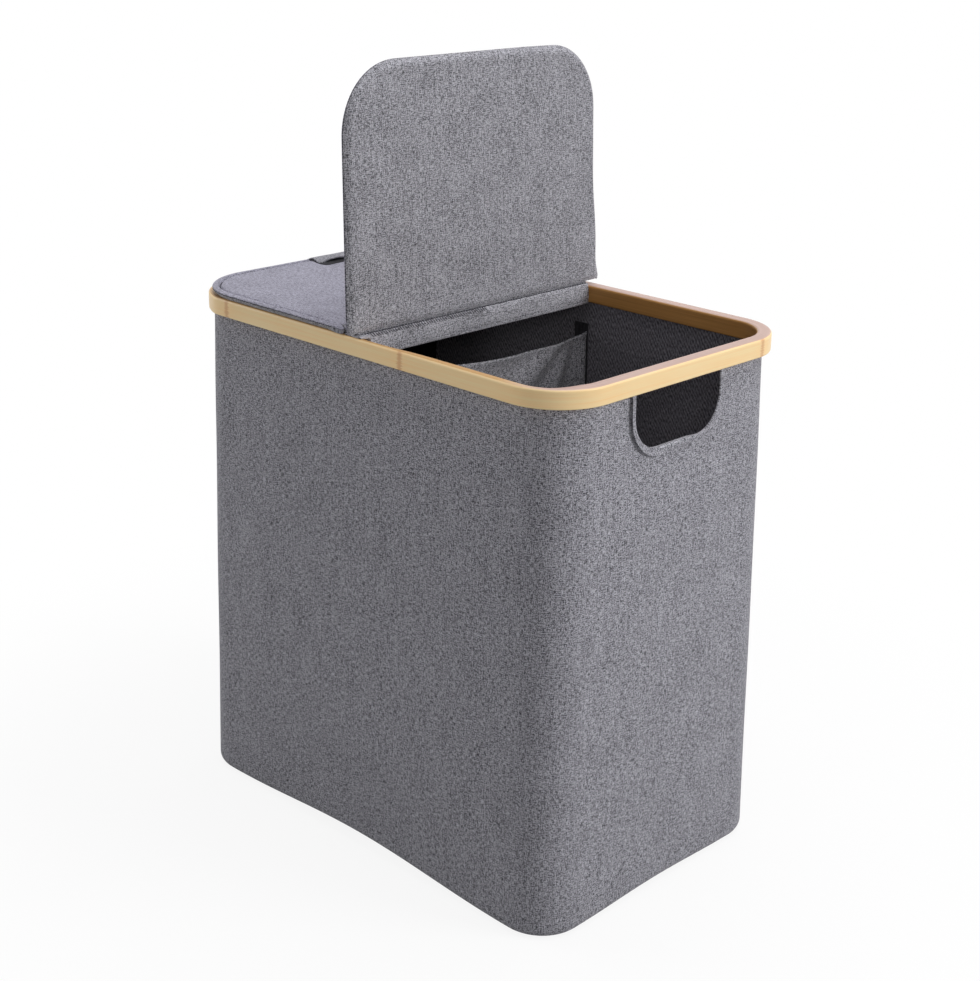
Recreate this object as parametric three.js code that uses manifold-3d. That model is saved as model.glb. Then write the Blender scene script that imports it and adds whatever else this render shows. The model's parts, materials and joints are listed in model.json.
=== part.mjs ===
// Two-bin laundry hamper: a fabric body hung in a bamboo rim, with two hinged lids.
// Millimetres, +Z up. The origin is on the floor, under the middle of the rim.
// +X runs along the long side, towards the bin whose lid stands open.

import * as THREE from 'three';
import { mergeVertices } from 'three/addons/utils/BufferGeometryUtils.js';
import Module from 'manifold-3d';

const wasm = await Module();
wasm.setup();

// The whole hamper
const rimLength = 580;
const rimWidth = 372;
const hamperHeight = 600;
const fitGap = 0.3;
const cutOverrun = 2;

// Bamboo rim: a bent hoop with a groove underneath that takes the fabric's hems
const rimBandHeight = 20;
const rimThickness = 16;
const rimCornerRadius = 65;
const rimTopRounding = 3;
const rimLowerRounding = 1.2;
const hemTuck = 6;

// Fabric body: how far it stands inside the rim, and how far it spreads to its base
const bodyInset = 9;
const bodyFlare = 9;
const baseCornerRadius = 52;
const bottomEdgeRadius = 12;
const bottomHemWidth = 18;
const longSideLift = 11;
const endLift = 3.5;
const shellThickness = 2.2;
const liningThickness = 1.5;
const bottomPanelThickness = 1.5;
const floorDroopWidth = 80;
const floorDroopFlat = 16;

// Hand holes in the two end walls, each edged by a sewn facing
const handHoleHalfWidth = 67;
const handHoleDepth = 65;
const handHoleCornerRadius = 39;
const facingWidth = 10;
const facingThickness = 1;
const facingWebThickness = 1.2;
const facingFoldRoom = 1.2;

// Corner rods with their end caps, each behind a sewn pocket
const rodRadius = 2.5;
const capRadius = 4.5;
const capLength = 16;
const capEndThickness = 3;
const pocketThickness = 1;
const pocketHalfAngle = 0.44;
const pocketEndGap = 4;

// Crossbar: a bamboo slat tenoned into the rim, in a sewn sleeve
const slatHalfWidth = 9.5;
const slatHeight = 22;
const tenonHalfWidth = 6;
const tenonHeight = 9;
const tenonDepth = 6;
const sleeveThickness = 1.2;
const hingeStripThickness = 1;
const crossbarRise = 4;
const sleeveEndGap = 0.3;

// Hung divider, the tapes that hold its sides, and the two base boards
const dividerThickness = 3;
const dividerSag = 43;
const dividerTapeHalfWidth = 10;
const dividerTapeThickness = 1.2;
const dividerTapeTopDrop = 24;
const dividerTapeFloorGap = 8;
const baseBoardThickness = 4;
const baseBoardSlot = 2.5;
const baseBoardInnerRadius = 4;

// Lids: a stiff board between a cover and an underside lining, hinged beside the crossbar
const lidThickness = 8;
const lidSideOverhang = 2.5;
const lidEndSetback = 8;
const lidCornerRadius = 70;
const lidHingeCornerRadius = 7;
const lidCoverThickness = 1.2;
const lidLiningThickness = 1.5;
const lidEdgeRounding = 2;
const hingeAxisOffset = 9;
const lidHingeReach = 5;
const openLidAngle = 92.4;

// Pull tab folded over the free end of each lid
const tabWidth = 64;
const tabCentre = 17;
const tabDepth = 38;
const tabHeight = 4.4;
const tabSeamInset = 4;
const tabEdgeHeight = 1.6;

// Smoothness of the faceted solids
const cornerSteps = 8;
const longSideSteps = 10;
const endSteps = 4;
const roundingSteps = 3;
const turningSteps = 14;
const edgeSteps = 2;

// Shares of the divider's half width, and of its sag below the crossbar, along its hung top edge
const dividerTopShares = [
  [-1, 0.28], [-0.9, 0.4], [-0.75, 0.52], [-0.55, 0.65], [-0.3, 0.79], [0, 0.915],
  [0.3, 0.985], [0.6, 1], [0.8, 0.975], [0.92, 0.92], [0.98, 0.84], [1, 0.73],
];

// Shares of the tab's depth and height along its folded outline
const tabOutlineShares = [[0, 0.3], [0.25, 0.62], [0.55, 0.92], [0.8, 1], [0.95, 0.84], [1, 0.5]];

// Heights and places that follow from the sizes above
const halfLength = rimLength / 2;
const halfWidth = rimWidth / 2;
const rimUnderside = hamperHeight - rimBandHeight;
const hemTop = rimUnderside + hemTuck - fitGap;
const shellInner = bodyInset + shellThickness;
const liningOuter = shellInner + fitGap;
const liningInner = liningOuter + liningThickness;
const baseInset = bodyInset - bodyFlare;
const panelUnderside = shellThickness + fitGap;
const panelTop = panelUnderside + bottomPanelThickness;
const liningUnderside = panelTop + fitGap;
const liningFloor = liningUnderside + liningThickness;
const boardUnderside = liningFloor + longSideLift + fitGap;
const boardTop = boardUnderside + baseBoardThickness;
const wallAngle = Math.atan(bodyFlare / (rimUnderside - bottomEdgeRadius - endLift));
const liningTurnRadius = bottomEdgeRadius - shellThickness - fitGap;
const liningTurnTop = liningUnderside + liningTurnRadius;

const materials = {
  bamboo: new THREE.MeshStandardMaterial({ color: 0xd9b67c, roughness: 0.5, metalness: 0 }),
  slatWood: new THREE.MeshStandardMaterial({ color: 0xc9a468, roughness: 0.6, metalness: 0 }),
  greyFabric: new THREE.MeshStandardMaterial({ color: 0x77787e, roughness: 0.95, metalness: 0 }),
  lidFabric: new THREE.MeshStandardMaterial({ color: 0x84848c, roughness: 0.95, metalness: 0 }),
  darkLining: new THREE.MeshStandardMaterial({ color: 0x323136, roughness: 0.9, metalness: 0 }),
  blackFabric: new THREE.MeshStandardMaterial({ color: 0x18181b, roughness: 0.95, metalness: 0 }),
  board: new THREE.MeshStandardMaterial({ color: 0xa08a68, roughness: 0.8, metalness: 0 }),
  steel: new THREE.MeshStandardMaterial({ color: 0xb9bcc0, roughness: 0.35, metalness: 0.9 }),
  blackPlastic: new THREE.MeshStandardMaterial({ color: 0x1c1c1e, roughness: 0.5, metalness: 0 }),
};

const hamper = new THREE.Group();

function addPiece(name, geometry, material, parent = hamper) {
  const piece = new THREE.Mesh(geometry, material);
  piece.name = name;
  parent.add(piece);
  return piece;
}

// Solids for boolean cuts and joins
function toSolid(geometry) {
  const bare = geometry.clone();
  bare.deleteAttribute('normal');
  bare.deleteAttribute('uv');
  const merged = mergeVertices(bare);
  return new wasm.Manifold(new wasm.Mesh({
    numProp: 3,
    vertProperties: Float32Array.from(merged.attributes.position.array),
    triVerts: Uint32Array.from(merged.index.array),
  }));
}

function toGeometry(solid) {
  const mesh = solid.getMesh();
  const geometry = new THREE.BufferGeometry();
  geometry.setAttribute('position', new THREE.BufferAttribute(Float32Array.from(mesh.vertProperties), 3));
  geometry.setIndex(Array.from(mesh.triVerts));
  geometry.computeVertexNormals();
  return geometry;
}

function cut(geometry, ...tools) {
  return toGeometry(tools.reduce((solid, tool) => solid.subtract(toSolid(tool)), toSolid(geometry)));
}

function join(...geometries) {
  return toGeometry(geometries.map(toSolid).reduce((joined, next) => joined.add(next)));
}

function boxBetween(low, high) {
  const geometry = new THREE.BoxGeometry(high[0] - low[0], high[1] - low[1], high[2] - low[2]);
  const middle = low.map((value, axis) => (value + high[axis]) / 2);
  return geometry.translate(...middle);
}

function smoothShare(value) {
  const share = Math.min(Math.max(value, 0), 1);
  return share * share * (3 - 2 * share);
}

// A rounded outline, as points that keep their number and order at every inset.
// Each corner is [x sign, y sign, radius, steps], anticlockwise from the lower right.
function roundedOutline(low, high, corners, inset = 0, sideSteps = [1, 1]) {
  const points = [];
  corners.forEach(([xSign, ySign, radius, steps], index) => {
    const centreX = xSign > 0 ? high[0] - radius : low[0] + radius;
    const centreY = ySign > 0 ? high[1] - radius : low[1] + radius;
    const start = -Math.PI / 2 + index * Math.PI / 2;
    for (let step = 0; step <= steps; step += 1) {
      const angle = start + (step / steps) * Math.PI / 2;
      const reach = radius - inset;
      points.push({
        x: centreX + reach * Math.cos(angle),
        y: centreY + reach * Math.sin(angle),
      });
    }
    const [nextX, nextY, nextRadius] = corners[(index + 1) % corners.length];
    const startPoint = points[points.length - 1];
    const angle = start + Math.PI / 2;
    const endPoint = {
      x: (nextX > 0 ? high[0] - nextRadius : low[0] + nextRadius) + (nextRadius - inset) * Math.cos(angle),
      y: (nextY > 0 ? high[1] - nextRadius : low[1] + nextRadius) + (nextRadius - inset) * Math.sin(angle),
    };
    const stepsHere = index % 2 === 0 ? sideSteps[1] : sideSteps[0];
    for (let step = 1; step < stepsHere; step += 1) {
      const share = step / stepsHere;
      points.push({
        x: startPoint.x + (endPoint.x - startPoint.x) * share,
        y: startPoint.y + (endPoint.y - startPoint.y) * share,
      });
    }
  });
  return points;
}

// A closed skin through rings of points: joined end to end, or capped at the first and last ring.
// Each face is split the same way seen from the outer ring, so neighbouring skins keep their gap.
function loft(rings, capped) {
  const count = rings[0].length;
  const reachOf = (ring) => Math.hypot(ring[0].x, ring[0].y);
  const positions = rings.flat().flatMap((point) => [point.x, point.y, point.z]);
  const triangles = [];
  const spans = capped ? rings.length - 1 : rings.length;
  for (let ring = 0; ring < spans; ring += 1) {
    const next = (ring + 1) % rings.length;
    const outward = reachOf(rings[next]) > reachOf(rings[ring]);
    for (let point = 0; point < count; point += 1) {
      const beside = (point + 1) % count;
      const a = ring * count + point;
      const b = ring * count + beside;
      const c = next * count + beside;
      const d = next * count + point;
      if (outward) {
        triangles.push(a, b, d, b, c, d);
      } else {
        triangles.push(a, b, c, a, c, d);
      }
    }
  }
  if (capped) {
    const capOf = (ring) => THREE.ShapeUtils.triangulateShape(
      ring.map((point) => new THREE.Vector2(point.x, point.y)), []);
    capOf(rings[0]).forEach(([a, b, c]) => triangles.push(a, c, b));
    const start = (rings.length - 1) * count;
    capOf(rings[rings.length - 1]).forEach(([a, b, c]) => triangles.push(start + a, start + b, start + c));
  }
  const geometry = new THREE.BufferGeometry();
  geometry.setAttribute('position', new THREE.Float32BufferAttribute(positions, 3));
  geometry.setIndex(triangles);
  geometry.computeVertexNormals();
  return geometry;
}

// The hamper's plan at an inset from the rim's outer face. The corners are rounder at the rim
// than at the base. Past the corner radius a corner stays round.
const leastCornerRadius = baseCornerRadius / 4;

function planOutline(inset, atBase) {
  const radius = rimCornerRadius + (baseCornerRadius - rimCornerRadius) * atBase;
  const kept = Math.min(inset, radius - leastCornerRadius);
  const extra = inset - kept;
  const corners = [[1, -1], [1, 1], [-1, 1], [-1, -1]]
    .map(([xSign, ySign]) => [xSign, ySign, radius, cornerSteps]);
  const low = [-halfLength + extra, -halfWidth + extra];
  const high = [halfLength - extra, halfWidth - extra];
  return roundedOutline(low, high, corners, kept, [longSideSteps, endSteps]);
}

// The base is drawn up between its corners: zero round each corner, most at the middle of a side
const baseLift = planOutline(baseInset, 1).map(({ x, y }) => {
  const alongLong = Math.abs(x) / (halfLength - baseCornerRadius);
  const alongEnd = Math.abs(y) / (halfWidth - baseCornerRadius);
  if (alongLong < 1) {
    return longSideLift * (1 + Math.cos(Math.PI * alongLong)) / 2;
  }
  return alongEnd < 1 ? endLift * (1 + Math.cos(Math.PI * alongEnd)) / 2 : 0;
});

// One ring round the body. atBase is 0 for a ring at the rim and 1 for one that follows the
// base's corners and lift. level is the share by which a base ring is drawn to the flat floor,
// which lies at the height of the long sides' lift.
function bodyRing(inset, z, atBase = 0, level = 0) {
  return planOutline(inset, atBase).map(({ x, y }, index) => {
    const lifted = baseLift[index] * (1 - level) + longSideLift * level;
    return { x, y, z: z + lifted * atBase };
  });
}

// A quarter turn in the body's section, from the wall down to the floor
function bottomTurn(radius, centreZ) {
  return Array.from({ length: roundingSteps + 1 }, (unused, step) => {
    const angle = (step / roundingSteps) * Math.PI / 2;
    return {
      inset: baseInset + bottomEdgeRadius - radius * Math.cos(angle),
      z: centreZ - radius * Math.sin(angle),
    };
  });
}

// Rim hoop
function rimGeometry() {
  const profile = [];
  const addRounding = (inset, z, radius, startAngle) => {
    for (let step = 0; step <= edgeSteps; step += 1) {
      const angle = startAngle + (step / edgeSteps) * Math.PI / 2;
      profile.push({ inset: inset - radius * Math.cos(angle), z: z + radius * Math.sin(angle) });
    }
  };
  const grooveOuter = bodyInset - fitGap;
  const grooveInner = liningInner + fitGap;
  const grooveTop = rimUnderside + hemTuck;
  addRounding(rimLowerRounding, rimUnderside + rimLowerRounding, rimLowerRounding, -Math.PI / 2);
  addRounding(rimTopRounding, hamperHeight - rimTopRounding, rimTopRounding, 0);
  addRounding(rimThickness - rimTopRounding, hamperHeight - rimTopRounding, rimTopRounding, Math.PI / 2);
  addRounding(rimThickness - rimLowerRounding, rimUnderside + rimLowerRounding, rimLowerRounding, Math.PI);
  profile.push({ inset: grooveInner, z: rimUnderside });
  profile.push({ inset: grooveInner, z: grooveTop });
  profile.push({ inset: grooveOuter, z: grooveTop });
  profile.push({ inset: grooveOuter, z: rimUnderside });
  const hoop = loft(profile.map(({ inset, z }) => bodyRing(inset, z)), false);
  const mortises = [-1, 1].map((side) => {
    const inner = side * (halfWidth - rimThickness - cutOverrun);
    const outer = side * (halfWidth - rimThickness + tenonDepth + fitGap);
    return boxBetween(
      [-tenonHalfWidth - fitGap, Math.min(inner, outer), tenonBottom - fitGap],
      [tenonHalfWidth + fitGap, Math.max(inner, outer), tenonBottom + tenonHeight + fitGap],
    );
  });
  return cut(hoop, ...mortises);
}

const hingeStripTop = hamperHeight + crossbarRise;
const sleeveTop = hingeStripTop - hingeStripThickness - fitGap;
const slatTop = sleeveTop - sleeveThickness - fitGap;
const slatBottom = slatTop - slatHeight;
const sleeveBottom = slatBottom - fitGap - sleeveThickness;
const tenonBottom = (rimUnderside + hemTuck + hamperHeight - tenonHeight) / 2;
const sleeveHalfWidth = slatHalfWidth + fitGap + sleeveThickness;

addPiece('rim_hoop', rimGeometry(), materials.bamboo);

// Hand holes: an outline that is open at the rim, and a solid through the wall along X.
// It is drawn at a wall's outer face, level with the rim's underside, and leans with the wall.
function handHoleShape(margin) {
  const half = handHoleHalfWidth + margin;
  const bottom = -handHoleDepth - margin;
  const radius = handHoleCornerRadius + margin;
  const shape = new THREE.Shape();
  shape.moveTo(-half, 0);
  shape.lineTo(-half, bottom + radius);
  shape.absarc(-half + radius, bottom + radius, radius, Math.PI, Math.PI * 1.5, false);
  shape.lineTo(half - radius, bottom);
  shape.absarc(half - radius, bottom + radius, radius, -Math.PI / 2, 0, false);
  shape.lineTo(half, 0);
  return shape;
}

function throughWall(shape, innerDepth, outerDepth) {
  const geometry = new THREE.ExtrudeGeometry(shape, {
    depth: innerDepth + outerDepth,
    bevelEnabled: false,
    curveSegments: cornerSteps,
  });
  const axes = new THREE.Matrix4().makeBasis(
    new THREE.Vector3(0, 1, 0), new THREE.Vector3(0, 0, 1), new THREE.Vector3(1, 0, 0));
  return geometry.applyMatrix4(axes).translate(-innerDepth, 0, 0);
}

function placeOnEndWall(geometry, side) {
  geometry.rotateY(-wallAngle);
  geometry.translate(halfLength - bodyInset, 0, rimUnderside);
  return side > 0 ? geometry : geometry.rotateZ(Math.PI);
}

const wallDepth = shellThickness + fitGap + liningThickness;

function handHoleCutter(side) {
  const shape = handHoleShape(facingWebThickness + fitGap + facingFoldRoom);
  return placeOnEndWall(throughWall(shape, wallDepth + cutOverrun, cutOverrun), side);
}

// Outer shell: walls, the rounded bottom edge and the hem that turns under
function shellGeometry() {
  const section = [
    { inset: bodyInset, z: hemTop, atBase: 0 },
    { inset: bodyInset, z: rimUnderside, atBase: 0 },
  ];
  bottomTurn(bottomEdgeRadius, bottomEdgeRadius).forEach((point) => section.push({ ...point, atBase: 1 }));
  const hemEnd = baseInset + bottomEdgeRadius + bottomHemWidth;
  section.push({ inset: hemEnd, z: 0, atBase: 1 });
  section.push({ inset: hemEnd, z: shellThickness, atBase: 1 });
  bottomTurn(bottomEdgeRadius - shellThickness, bottomEdgeRadius).reverse()
    .forEach((point) => section.push({ ...point, atBase: 1 }));
  section.push({ inset: shellInner, z: rimUnderside, atBase: 0 });
  section.push({ inset: shellInner, z: hemTop, atBase: 0 });
  const rings = section.map(({ inset, z, atBase }) => bodyRing(inset, z, atBase)).reverse();
  return cut(loft(rings, false), handHoleCutter(1), handHoleCutter(-1));
}

addPiece('outer_shell', shellGeometry(), materials.greyFabric);

// Floor rings: the cloth droops to the corners near its edge and is flat in the middle
function floorRings(startInset, z) {
  const steps = 4;
  return Array.from({ length: steps + 1 }, (unused, step) => {
    const across = (step / steps) * floorDroopWidth;
    const level = smoothShare((across - floorDroopFlat) / (floorDroopWidth - floorDroopFlat));
    return bodyRing(startInset + across, z, 1, level);
  });
}

function bottomPanelGeometry() {
  const edge = baseInset + bottomEdgeRadius;
  const below = floorRings(edge, panelUnderside);
  const above = floorRings(edge, panelTop).reverse();
  return loft([...below.reverse(), ...above.reverse()], true);
}

addPiece('bottom_panel', bottomPanelGeometry(), materials.darkLining);

// Lining: one dark bag inside the shell, sewn into the same hem
function liningGeometry() {
  const edge = baseInset + bottomEdgeRadius;
  const outerWall = [bodyRing(liningOuter, hemTop), bodyRing(liningOuter, rimUnderside)];
  const outerTurn = bottomTurn(liningTurnRadius, liningTurnTop).map(({ inset, z }) => bodyRing(inset, z, 1));
  const innerTurn = bottomTurn(liningTurnRadius - liningThickness, liningTurnTop)
    .map(({ inset, z }) => bodyRing(inset, z, 1));
  const innerWall = [bodyRing(liningInner, hemTop), bodyRing(liningInner, rimUnderside)];
  const outside = [...outerWall, ...outerTurn, ...floorRings(edge, liningUnderside).slice(1)];
  const inside = [...innerWall, ...innerTurn, ...floorRings(edge, liningFloor).slice(1)];
  const bag = loft([...outside.reverse(), ...inside], true);
  return cut(bag, handHoleCutter(1), handHoleCutter(-1));
}

addPiece('lining', liningGeometry(), materials.darkLining);

// Inset of the lining's inner face at a height, where the base is lifted by a given amount
function liningInsetAt(z, lift) {
  const share = (rimUnderside - z) / (rimUnderside - liningTurnTop - lift);
  return liningInner - bodyFlare * Math.min(Math.max(share, 0), 1);
}

// Hand hole facings: a sewn band on the outside and an edge that wraps through the wall
function facingGeometry(side) {
  const bandOuter = facingWidth;
  const band = throughWall(handHoleShape(bandOuter), -fitGap, fitGap + facingThickness);
  const web = throughWall(handHoleShape(facingWebThickness), wallDepth, fitGap + facingThickness);
  const hole = throughWall(handHoleShape(0), wallDepth + cutOverrun, fitGap + facingThickness + cutOverrun);
  const trimTop = new THREE.BoxGeometry(
    2 * (wallDepth + cutOverrun + facingThickness + fitGap), 2 * (handHoleHalfWidth + facingWidth + cutOverrun),
    2 * fitGap);
  return placeOnEndWall(cut(join(band, web), hole, trimTop), side);
}

addPiece('handle_facing_right', facingGeometry(1), materials.greyFabric);
addPiece('handle_facing_left', facingGeometry(-1), materials.greyFabric);

// Corner rods. Each stands on the lining in a corner of the base and ends under the rim's inner
// edge. A corner is followed down the wall: share is 0 at the rim's underside and 1 at the base.
function cornerAt(share) {
  const radius = rimCornerRadius + (baseCornerRadius - rimCornerRadius) * share;
  const topReach = rimCornerRadius - liningInner - fitGap - capRadius;
  const baseReach = baseCornerRadius - baseInset - bottomEdgeRadius - fitGap - capRadius;
  const wallInset = liningInner - bodyFlare * share;
  return {
    x: halfLength - radius,
    y: halfWidth - radius,
    wallReach: (radius - wallInset) * facetShare - fitGap,
    rodReach: topReach + (baseReach - topReach) * share,
  };
}

const facetShare = Math.cos(Math.PI / (4 * cornerSteps));
const footBottom = liningFloor + fitGap;
const capTop = rimUnderside - fitGap;

function rodPoint(share, z) {
  const corner = cornerAt(share);
  const offset = corner.rodReach * Math.SQRT1_2;
  return new THREE.Vector3(corner.x + offset, corner.y + offset, z);
}

const rodFoot = rodPoint(1, footBottom);
const rodTop = rodPoint(0, capTop);
const rodSpan = rodTop.distanceTo(rodFoot);

function capGeometry() {
  const boreRadius = rodRadius + fitGap;
  return new THREE.LatheGeometry([
    new THREE.Vector2(0, 0),
    new THREE.Vector2(capRadius, 0),
    new THREE.Vector2(capRadius, capLength),
    new THREE.Vector2(boreRadius, capLength),
    new THREE.Vector2(boreRadius, capEndThickness),
    new THREE.Vector2(0, capEndThickness),
  ], turningSteps).rotateX(Math.PI / 2);
}

function rodGeometry() {
  const length = rodSpan - 2 * (capEndThickness + fitGap);
  return new THREE.CylinderGeometry(rodRadius, rodRadius, length, turningSteps).rotateX(Math.PI / 2);
}

// Pocket: a strip that follows the lining's corner and bulges round the rod, in the +X +Y corner
function pocketRing(z) {
  const corner = cornerAt((rimUnderside - z) / (rimUnderside - liningTurnTop));
  const clearReach = corner.rodReach - capRadius - fitGap;
  const steps = 2 * cornerSteps;
  const side = (inward) => Array.from({ length: steps + 1 }, (unused, step) => {
    const share = (2 * step) / steps - 1;
    const angle = Math.PI / 4 + share * pocketHalfAngle;
    const bulge = 1 - Math.sin(share * Math.PI / 2) ** 4;
    const reach = corner.wallReach + (clearReach - corner.wallReach) * bulge - inward;
    return {
      x: corner.x + reach * Math.cos(angle),
      y: corner.y + reach * Math.sin(angle),
      z,
    };
  });
  return [...side(0), ...side(pocketThickness).reverse()];
}

function mirrored(geometry, xSign, ySign) {
  const copy = geometry.clone().scale(xSign, ySign, 1);
  if (xSign * ySign > 0) {
    return copy;
  }
  const index = copy.index.array;
  for (let corner = 0; corner < index.length; corner += 3) {
    [index[corner], index[corner + 1]] = [index[corner + 1], index[corner]];
  }
  copy.computeVertexNormals();
  return copy;
}

const pocketGeometry = loft([pocketRing(liningTurnTop + pocketEndGap), pocketRing(capTop - pocketEndGap)], true);

[['front_left', -1, -1], ['front_right', 1, -1], ['back_left', -1, 1], ['back_right', 1, 1]]
  .forEach(([place, xSign, ySign]) => {
    const foot = rodFoot.clone().multiply(new THREE.Vector3(xSign, ySign, 1));
    const top = rodTop.clone().multiply(new THREE.Vector3(xSign, ySign, 1));
    const upright = new THREE.Group();
    upright.position.copy(foot);
    upright.quaternion.setFromUnitVectors(new THREE.Vector3(0, 0, 1), top.sub(foot).normalize());
    hamper.add(upright);
    addPiece(`rod_foot_${place}`, capGeometry(), materials.blackPlastic, upright);
    addPiece(`rod_${place}`, rodGeometry(), materials.steel, upright).position.z = rodSpan / 2;
    const cap = addPiece(`rod_cap_${place}`, capGeometry(), materials.blackPlastic, upright);
    cap.rotation.x = Math.PI;
    cap.position.z = rodSpan;
    addPiece(`rod_pocket_${place}`, mirrored(pocketGeometry, xSign, ySign), materials.blackFabric);
  });

// Crossbar slat with its two tenons, the sleeve round it and the strip that both lids hang on
const innerHalfWidth = halfWidth - rimThickness;

function slatGeometry() {
  const slatEnd = innerHalfWidth - fitGap;
  const tenonEnd = innerHalfWidth + tenonDepth;
  return join(
    boxBetween([-slatHalfWidth, -slatEnd, slatBottom], [slatHalfWidth, slatEnd, slatTop]),
    boxBetween([-tenonHalfWidth, -tenonEnd, tenonBottom], [tenonHalfWidth, tenonEnd, tenonBottom + tenonHeight]),
  );
}

function sleeveGeometry() {
  const end = innerHalfWidth - fitGap - sleeveEndGap;
  return cut(
    boxBetween([-sleeveHalfWidth, -end, sleeveBottom], [sleeveHalfWidth, end, sleeveTop]),
    boxBetween(
      [-slatHalfWidth - fitGap, -end - cutOverrun, slatBottom - fitGap],
      [slatHalfWidth + fitGap, end + cutOverrun, slatTop + fitGap],
    ),
  );
}

addPiece('crossbar_slat', slatGeometry(), materials.slatWood);
addPiece('crossbar_sleeve', sleeveGeometry(), materials.lidFabric);
addPiece('hinge_strip', boxBetween(
  [-sleeveHalfWidth, -innerHalfWidth + fitGap, sleeveTop + fitGap],
  [sleeveHalfWidth, innerHalfWidth - fitGap, hingeStripTop],
), materials.lidFabric);

// Hook and loop tapes that hold the divider's two sides to the long walls
const tapeBottom = boardTop + dividerTapeFloorGap;
const tapeTop = sleeveBottom - dividerTapeTopDrop;

function tapeGeometry(side) {
  const outerAt = (z) => halfWidth - liningInsetAt(z, longSideLift) - fitGap;
  const ringAt = (z) => {
    const outer = outerAt(z);
    const inner = outer - dividerTapeThickness;
    return [
      { x: -dividerTapeHalfWidth, y: inner, z },
      { x: dividerTapeHalfWidth, y: inner, z },
      { x: dividerTapeHalfWidth, y: outer, z },
      { x: -dividerTapeHalfWidth, y: outer, z },
    ];
  };
  return mirrored(loft([ringAt(tapeBottom), ringAt(tapeTop)], true), 1, side);
}

addPiece('divider_tape_front', tapeGeometry(-1), materials.blackFabric);
addPiece('divider_tape_back', tapeGeometry(1), materials.blackFabric);

// Divider: a fabric panel that hangs between the tapes, with a sagging top edge
function dividerGeometry() {
  const sideInset = 2 * fitGap + dividerTapeThickness;
  const topHalf = halfWidth - liningInsetAt(sleeveBottom, longSideLift) - sideInset;
  const bottomHalf = halfWidth - liningInsetAt(boardUnderside, longSideLift) - sideInset;
  const cornerRadius = bottomEdgeRadius;
  const top = dividerTopShares.map(([along, drop]) => new THREE.Vector2(
    along * topHalf, sleeveBottom - drop * dividerSag));
  const shape = new THREE.Shape();
  shape.moveTo(-bottomHalf + cornerRadius, boardUnderside);
  shape.lineTo(bottomHalf - cornerRadius, boardUnderside);
  shape.quadraticCurveTo(bottomHalf, boardUnderside, bottomHalf, boardUnderside + cornerRadius);
  shape.lineTo(top[top.length - 1].x, top[top.length - 1].y);
  top.reverse().slice(1).forEach(({ x, y }) => shape.lineTo(x, y));
  shape.lineTo(-bottomHalf, boardUnderside + cornerRadius);
  shape.quadraticCurveTo(-bottomHalf, boardUnderside, -bottomHalf + cornerRadius, boardUnderside);
  const half = dividerThickness / 2;
  return throughWall(shape, half, half);
}

addPiece('divider_panel', dividerGeometry(), materials.greyFabric);

// Base boards: one stiff board on the floor of each bin, rounded to clear the rod pockets
function baseBoardGeometry(side) {
  const edgeInset = baseInset + bottomEdgeRadius + fitGap;
  const low = [dividerThickness / 2 + baseBoardSlot, -halfWidth + edgeInset];
  const high = [halfLength - edgeInset, halfWidth - edgeInset];
  const square = baseCornerRadius - edgeInset;
  const clearReach = cornerAt(1).rodReach - capRadius - pocketThickness - 3 * fitGap;
  const outerRadius = (square * Math.SQRT2 - clearReach) / (Math.SQRT2 - 1);
  const innerRadius = baseBoardInnerRadius;
  const corners = [
    [1, -1, outerRadius, cornerSteps], [1, 1, outerRadius, cornerSteps],
    [-1, 1, innerRadius, edgeSteps], [-1, -1, innerRadius, edgeSteps],
  ];
  const outline = roundedOutline(low, high, corners);
  const board = loft([boardUnderside, boardTop].map((z) => outline.map(({ x, y }) => ({ x, y, z }))), true);
  return mirrored(board, side, 1);
}

addPiece('base_board_right', baseBoardGeometry(1), materials.darkLining);
addPiece('base_board_left', baseBoardGeometry(-1), materials.darkLining);

// Lids, drawn closed with the hinge axis along Y at the origin and the free end towards +X.
// The axis is level with the rim's top, under the fabric hinge.
const lidLength = halfLength - lidEndSetback - hingeAxisOffset;
const lidHalfWidth = halfWidth + lidSideOverhang;
const lidUnderside = fitGap;
const lidTop = lidUnderside + lidThickness;

function lidRing(inset, z) {
  const corners = [
    [1, -1, lidCornerRadius, cornerSteps], [1, 1, lidCornerRadius, cornerSteps],
    [-1, 1, lidHingeCornerRadius, edgeSteps], [-1, -1, lidHingeCornerRadius, edgeSteps],
  ];
  return roundedOutline([lidHingeReach, -lidHalfWidth], [lidLength, lidHalfWidth], corners, inset)
    .map(({ x, y }) => ({ x, y, z }));
}

function lidCoverGeometry() {
  return loft([
    lidRing(lidCoverThickness, lidTop - lidCoverThickness),
    lidRing(lidCoverThickness, lidUnderside),
    lidRing(0, lidUnderside),
    lidRing(0, lidTop - lidEdgeRounding),
    lidRing(lidEdgeRounding, lidTop),
  ], true);
}

function lidPlateGeometry(inset, low, high) {
  return loft([lidRing(inset, low), lidRing(inset, high)], true);
}

// Pull tab: the fabric is sewn along the lid's end and folded back over its top
function tabGeometry() {
  const seam = lidLength - tabSeamInset;
  const under = lidTop + fitGap;
  const outline = tabOutlineShares.map(([along, height]) => new THREE.Vector2(
    seam - along * tabDepth, under + tabEdgeHeight + height * (tabHeight - tabEdgeHeight)));
  const shape = new THREE.Shape();
  shape.moveTo(seam, under);
  outline.forEach(({ x, y }) => shape.lineTo(x, y));
  shape.lineTo(seam - tabDepth, under);
  const tab = new THREE.ExtrudeGeometry(shape, { depth: tabWidth, bevelEnabled: false });
  return tab.rotateX(Math.PI / 2).translate(0, tabWidth / 2 + tabCentre, 0);
}

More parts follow.
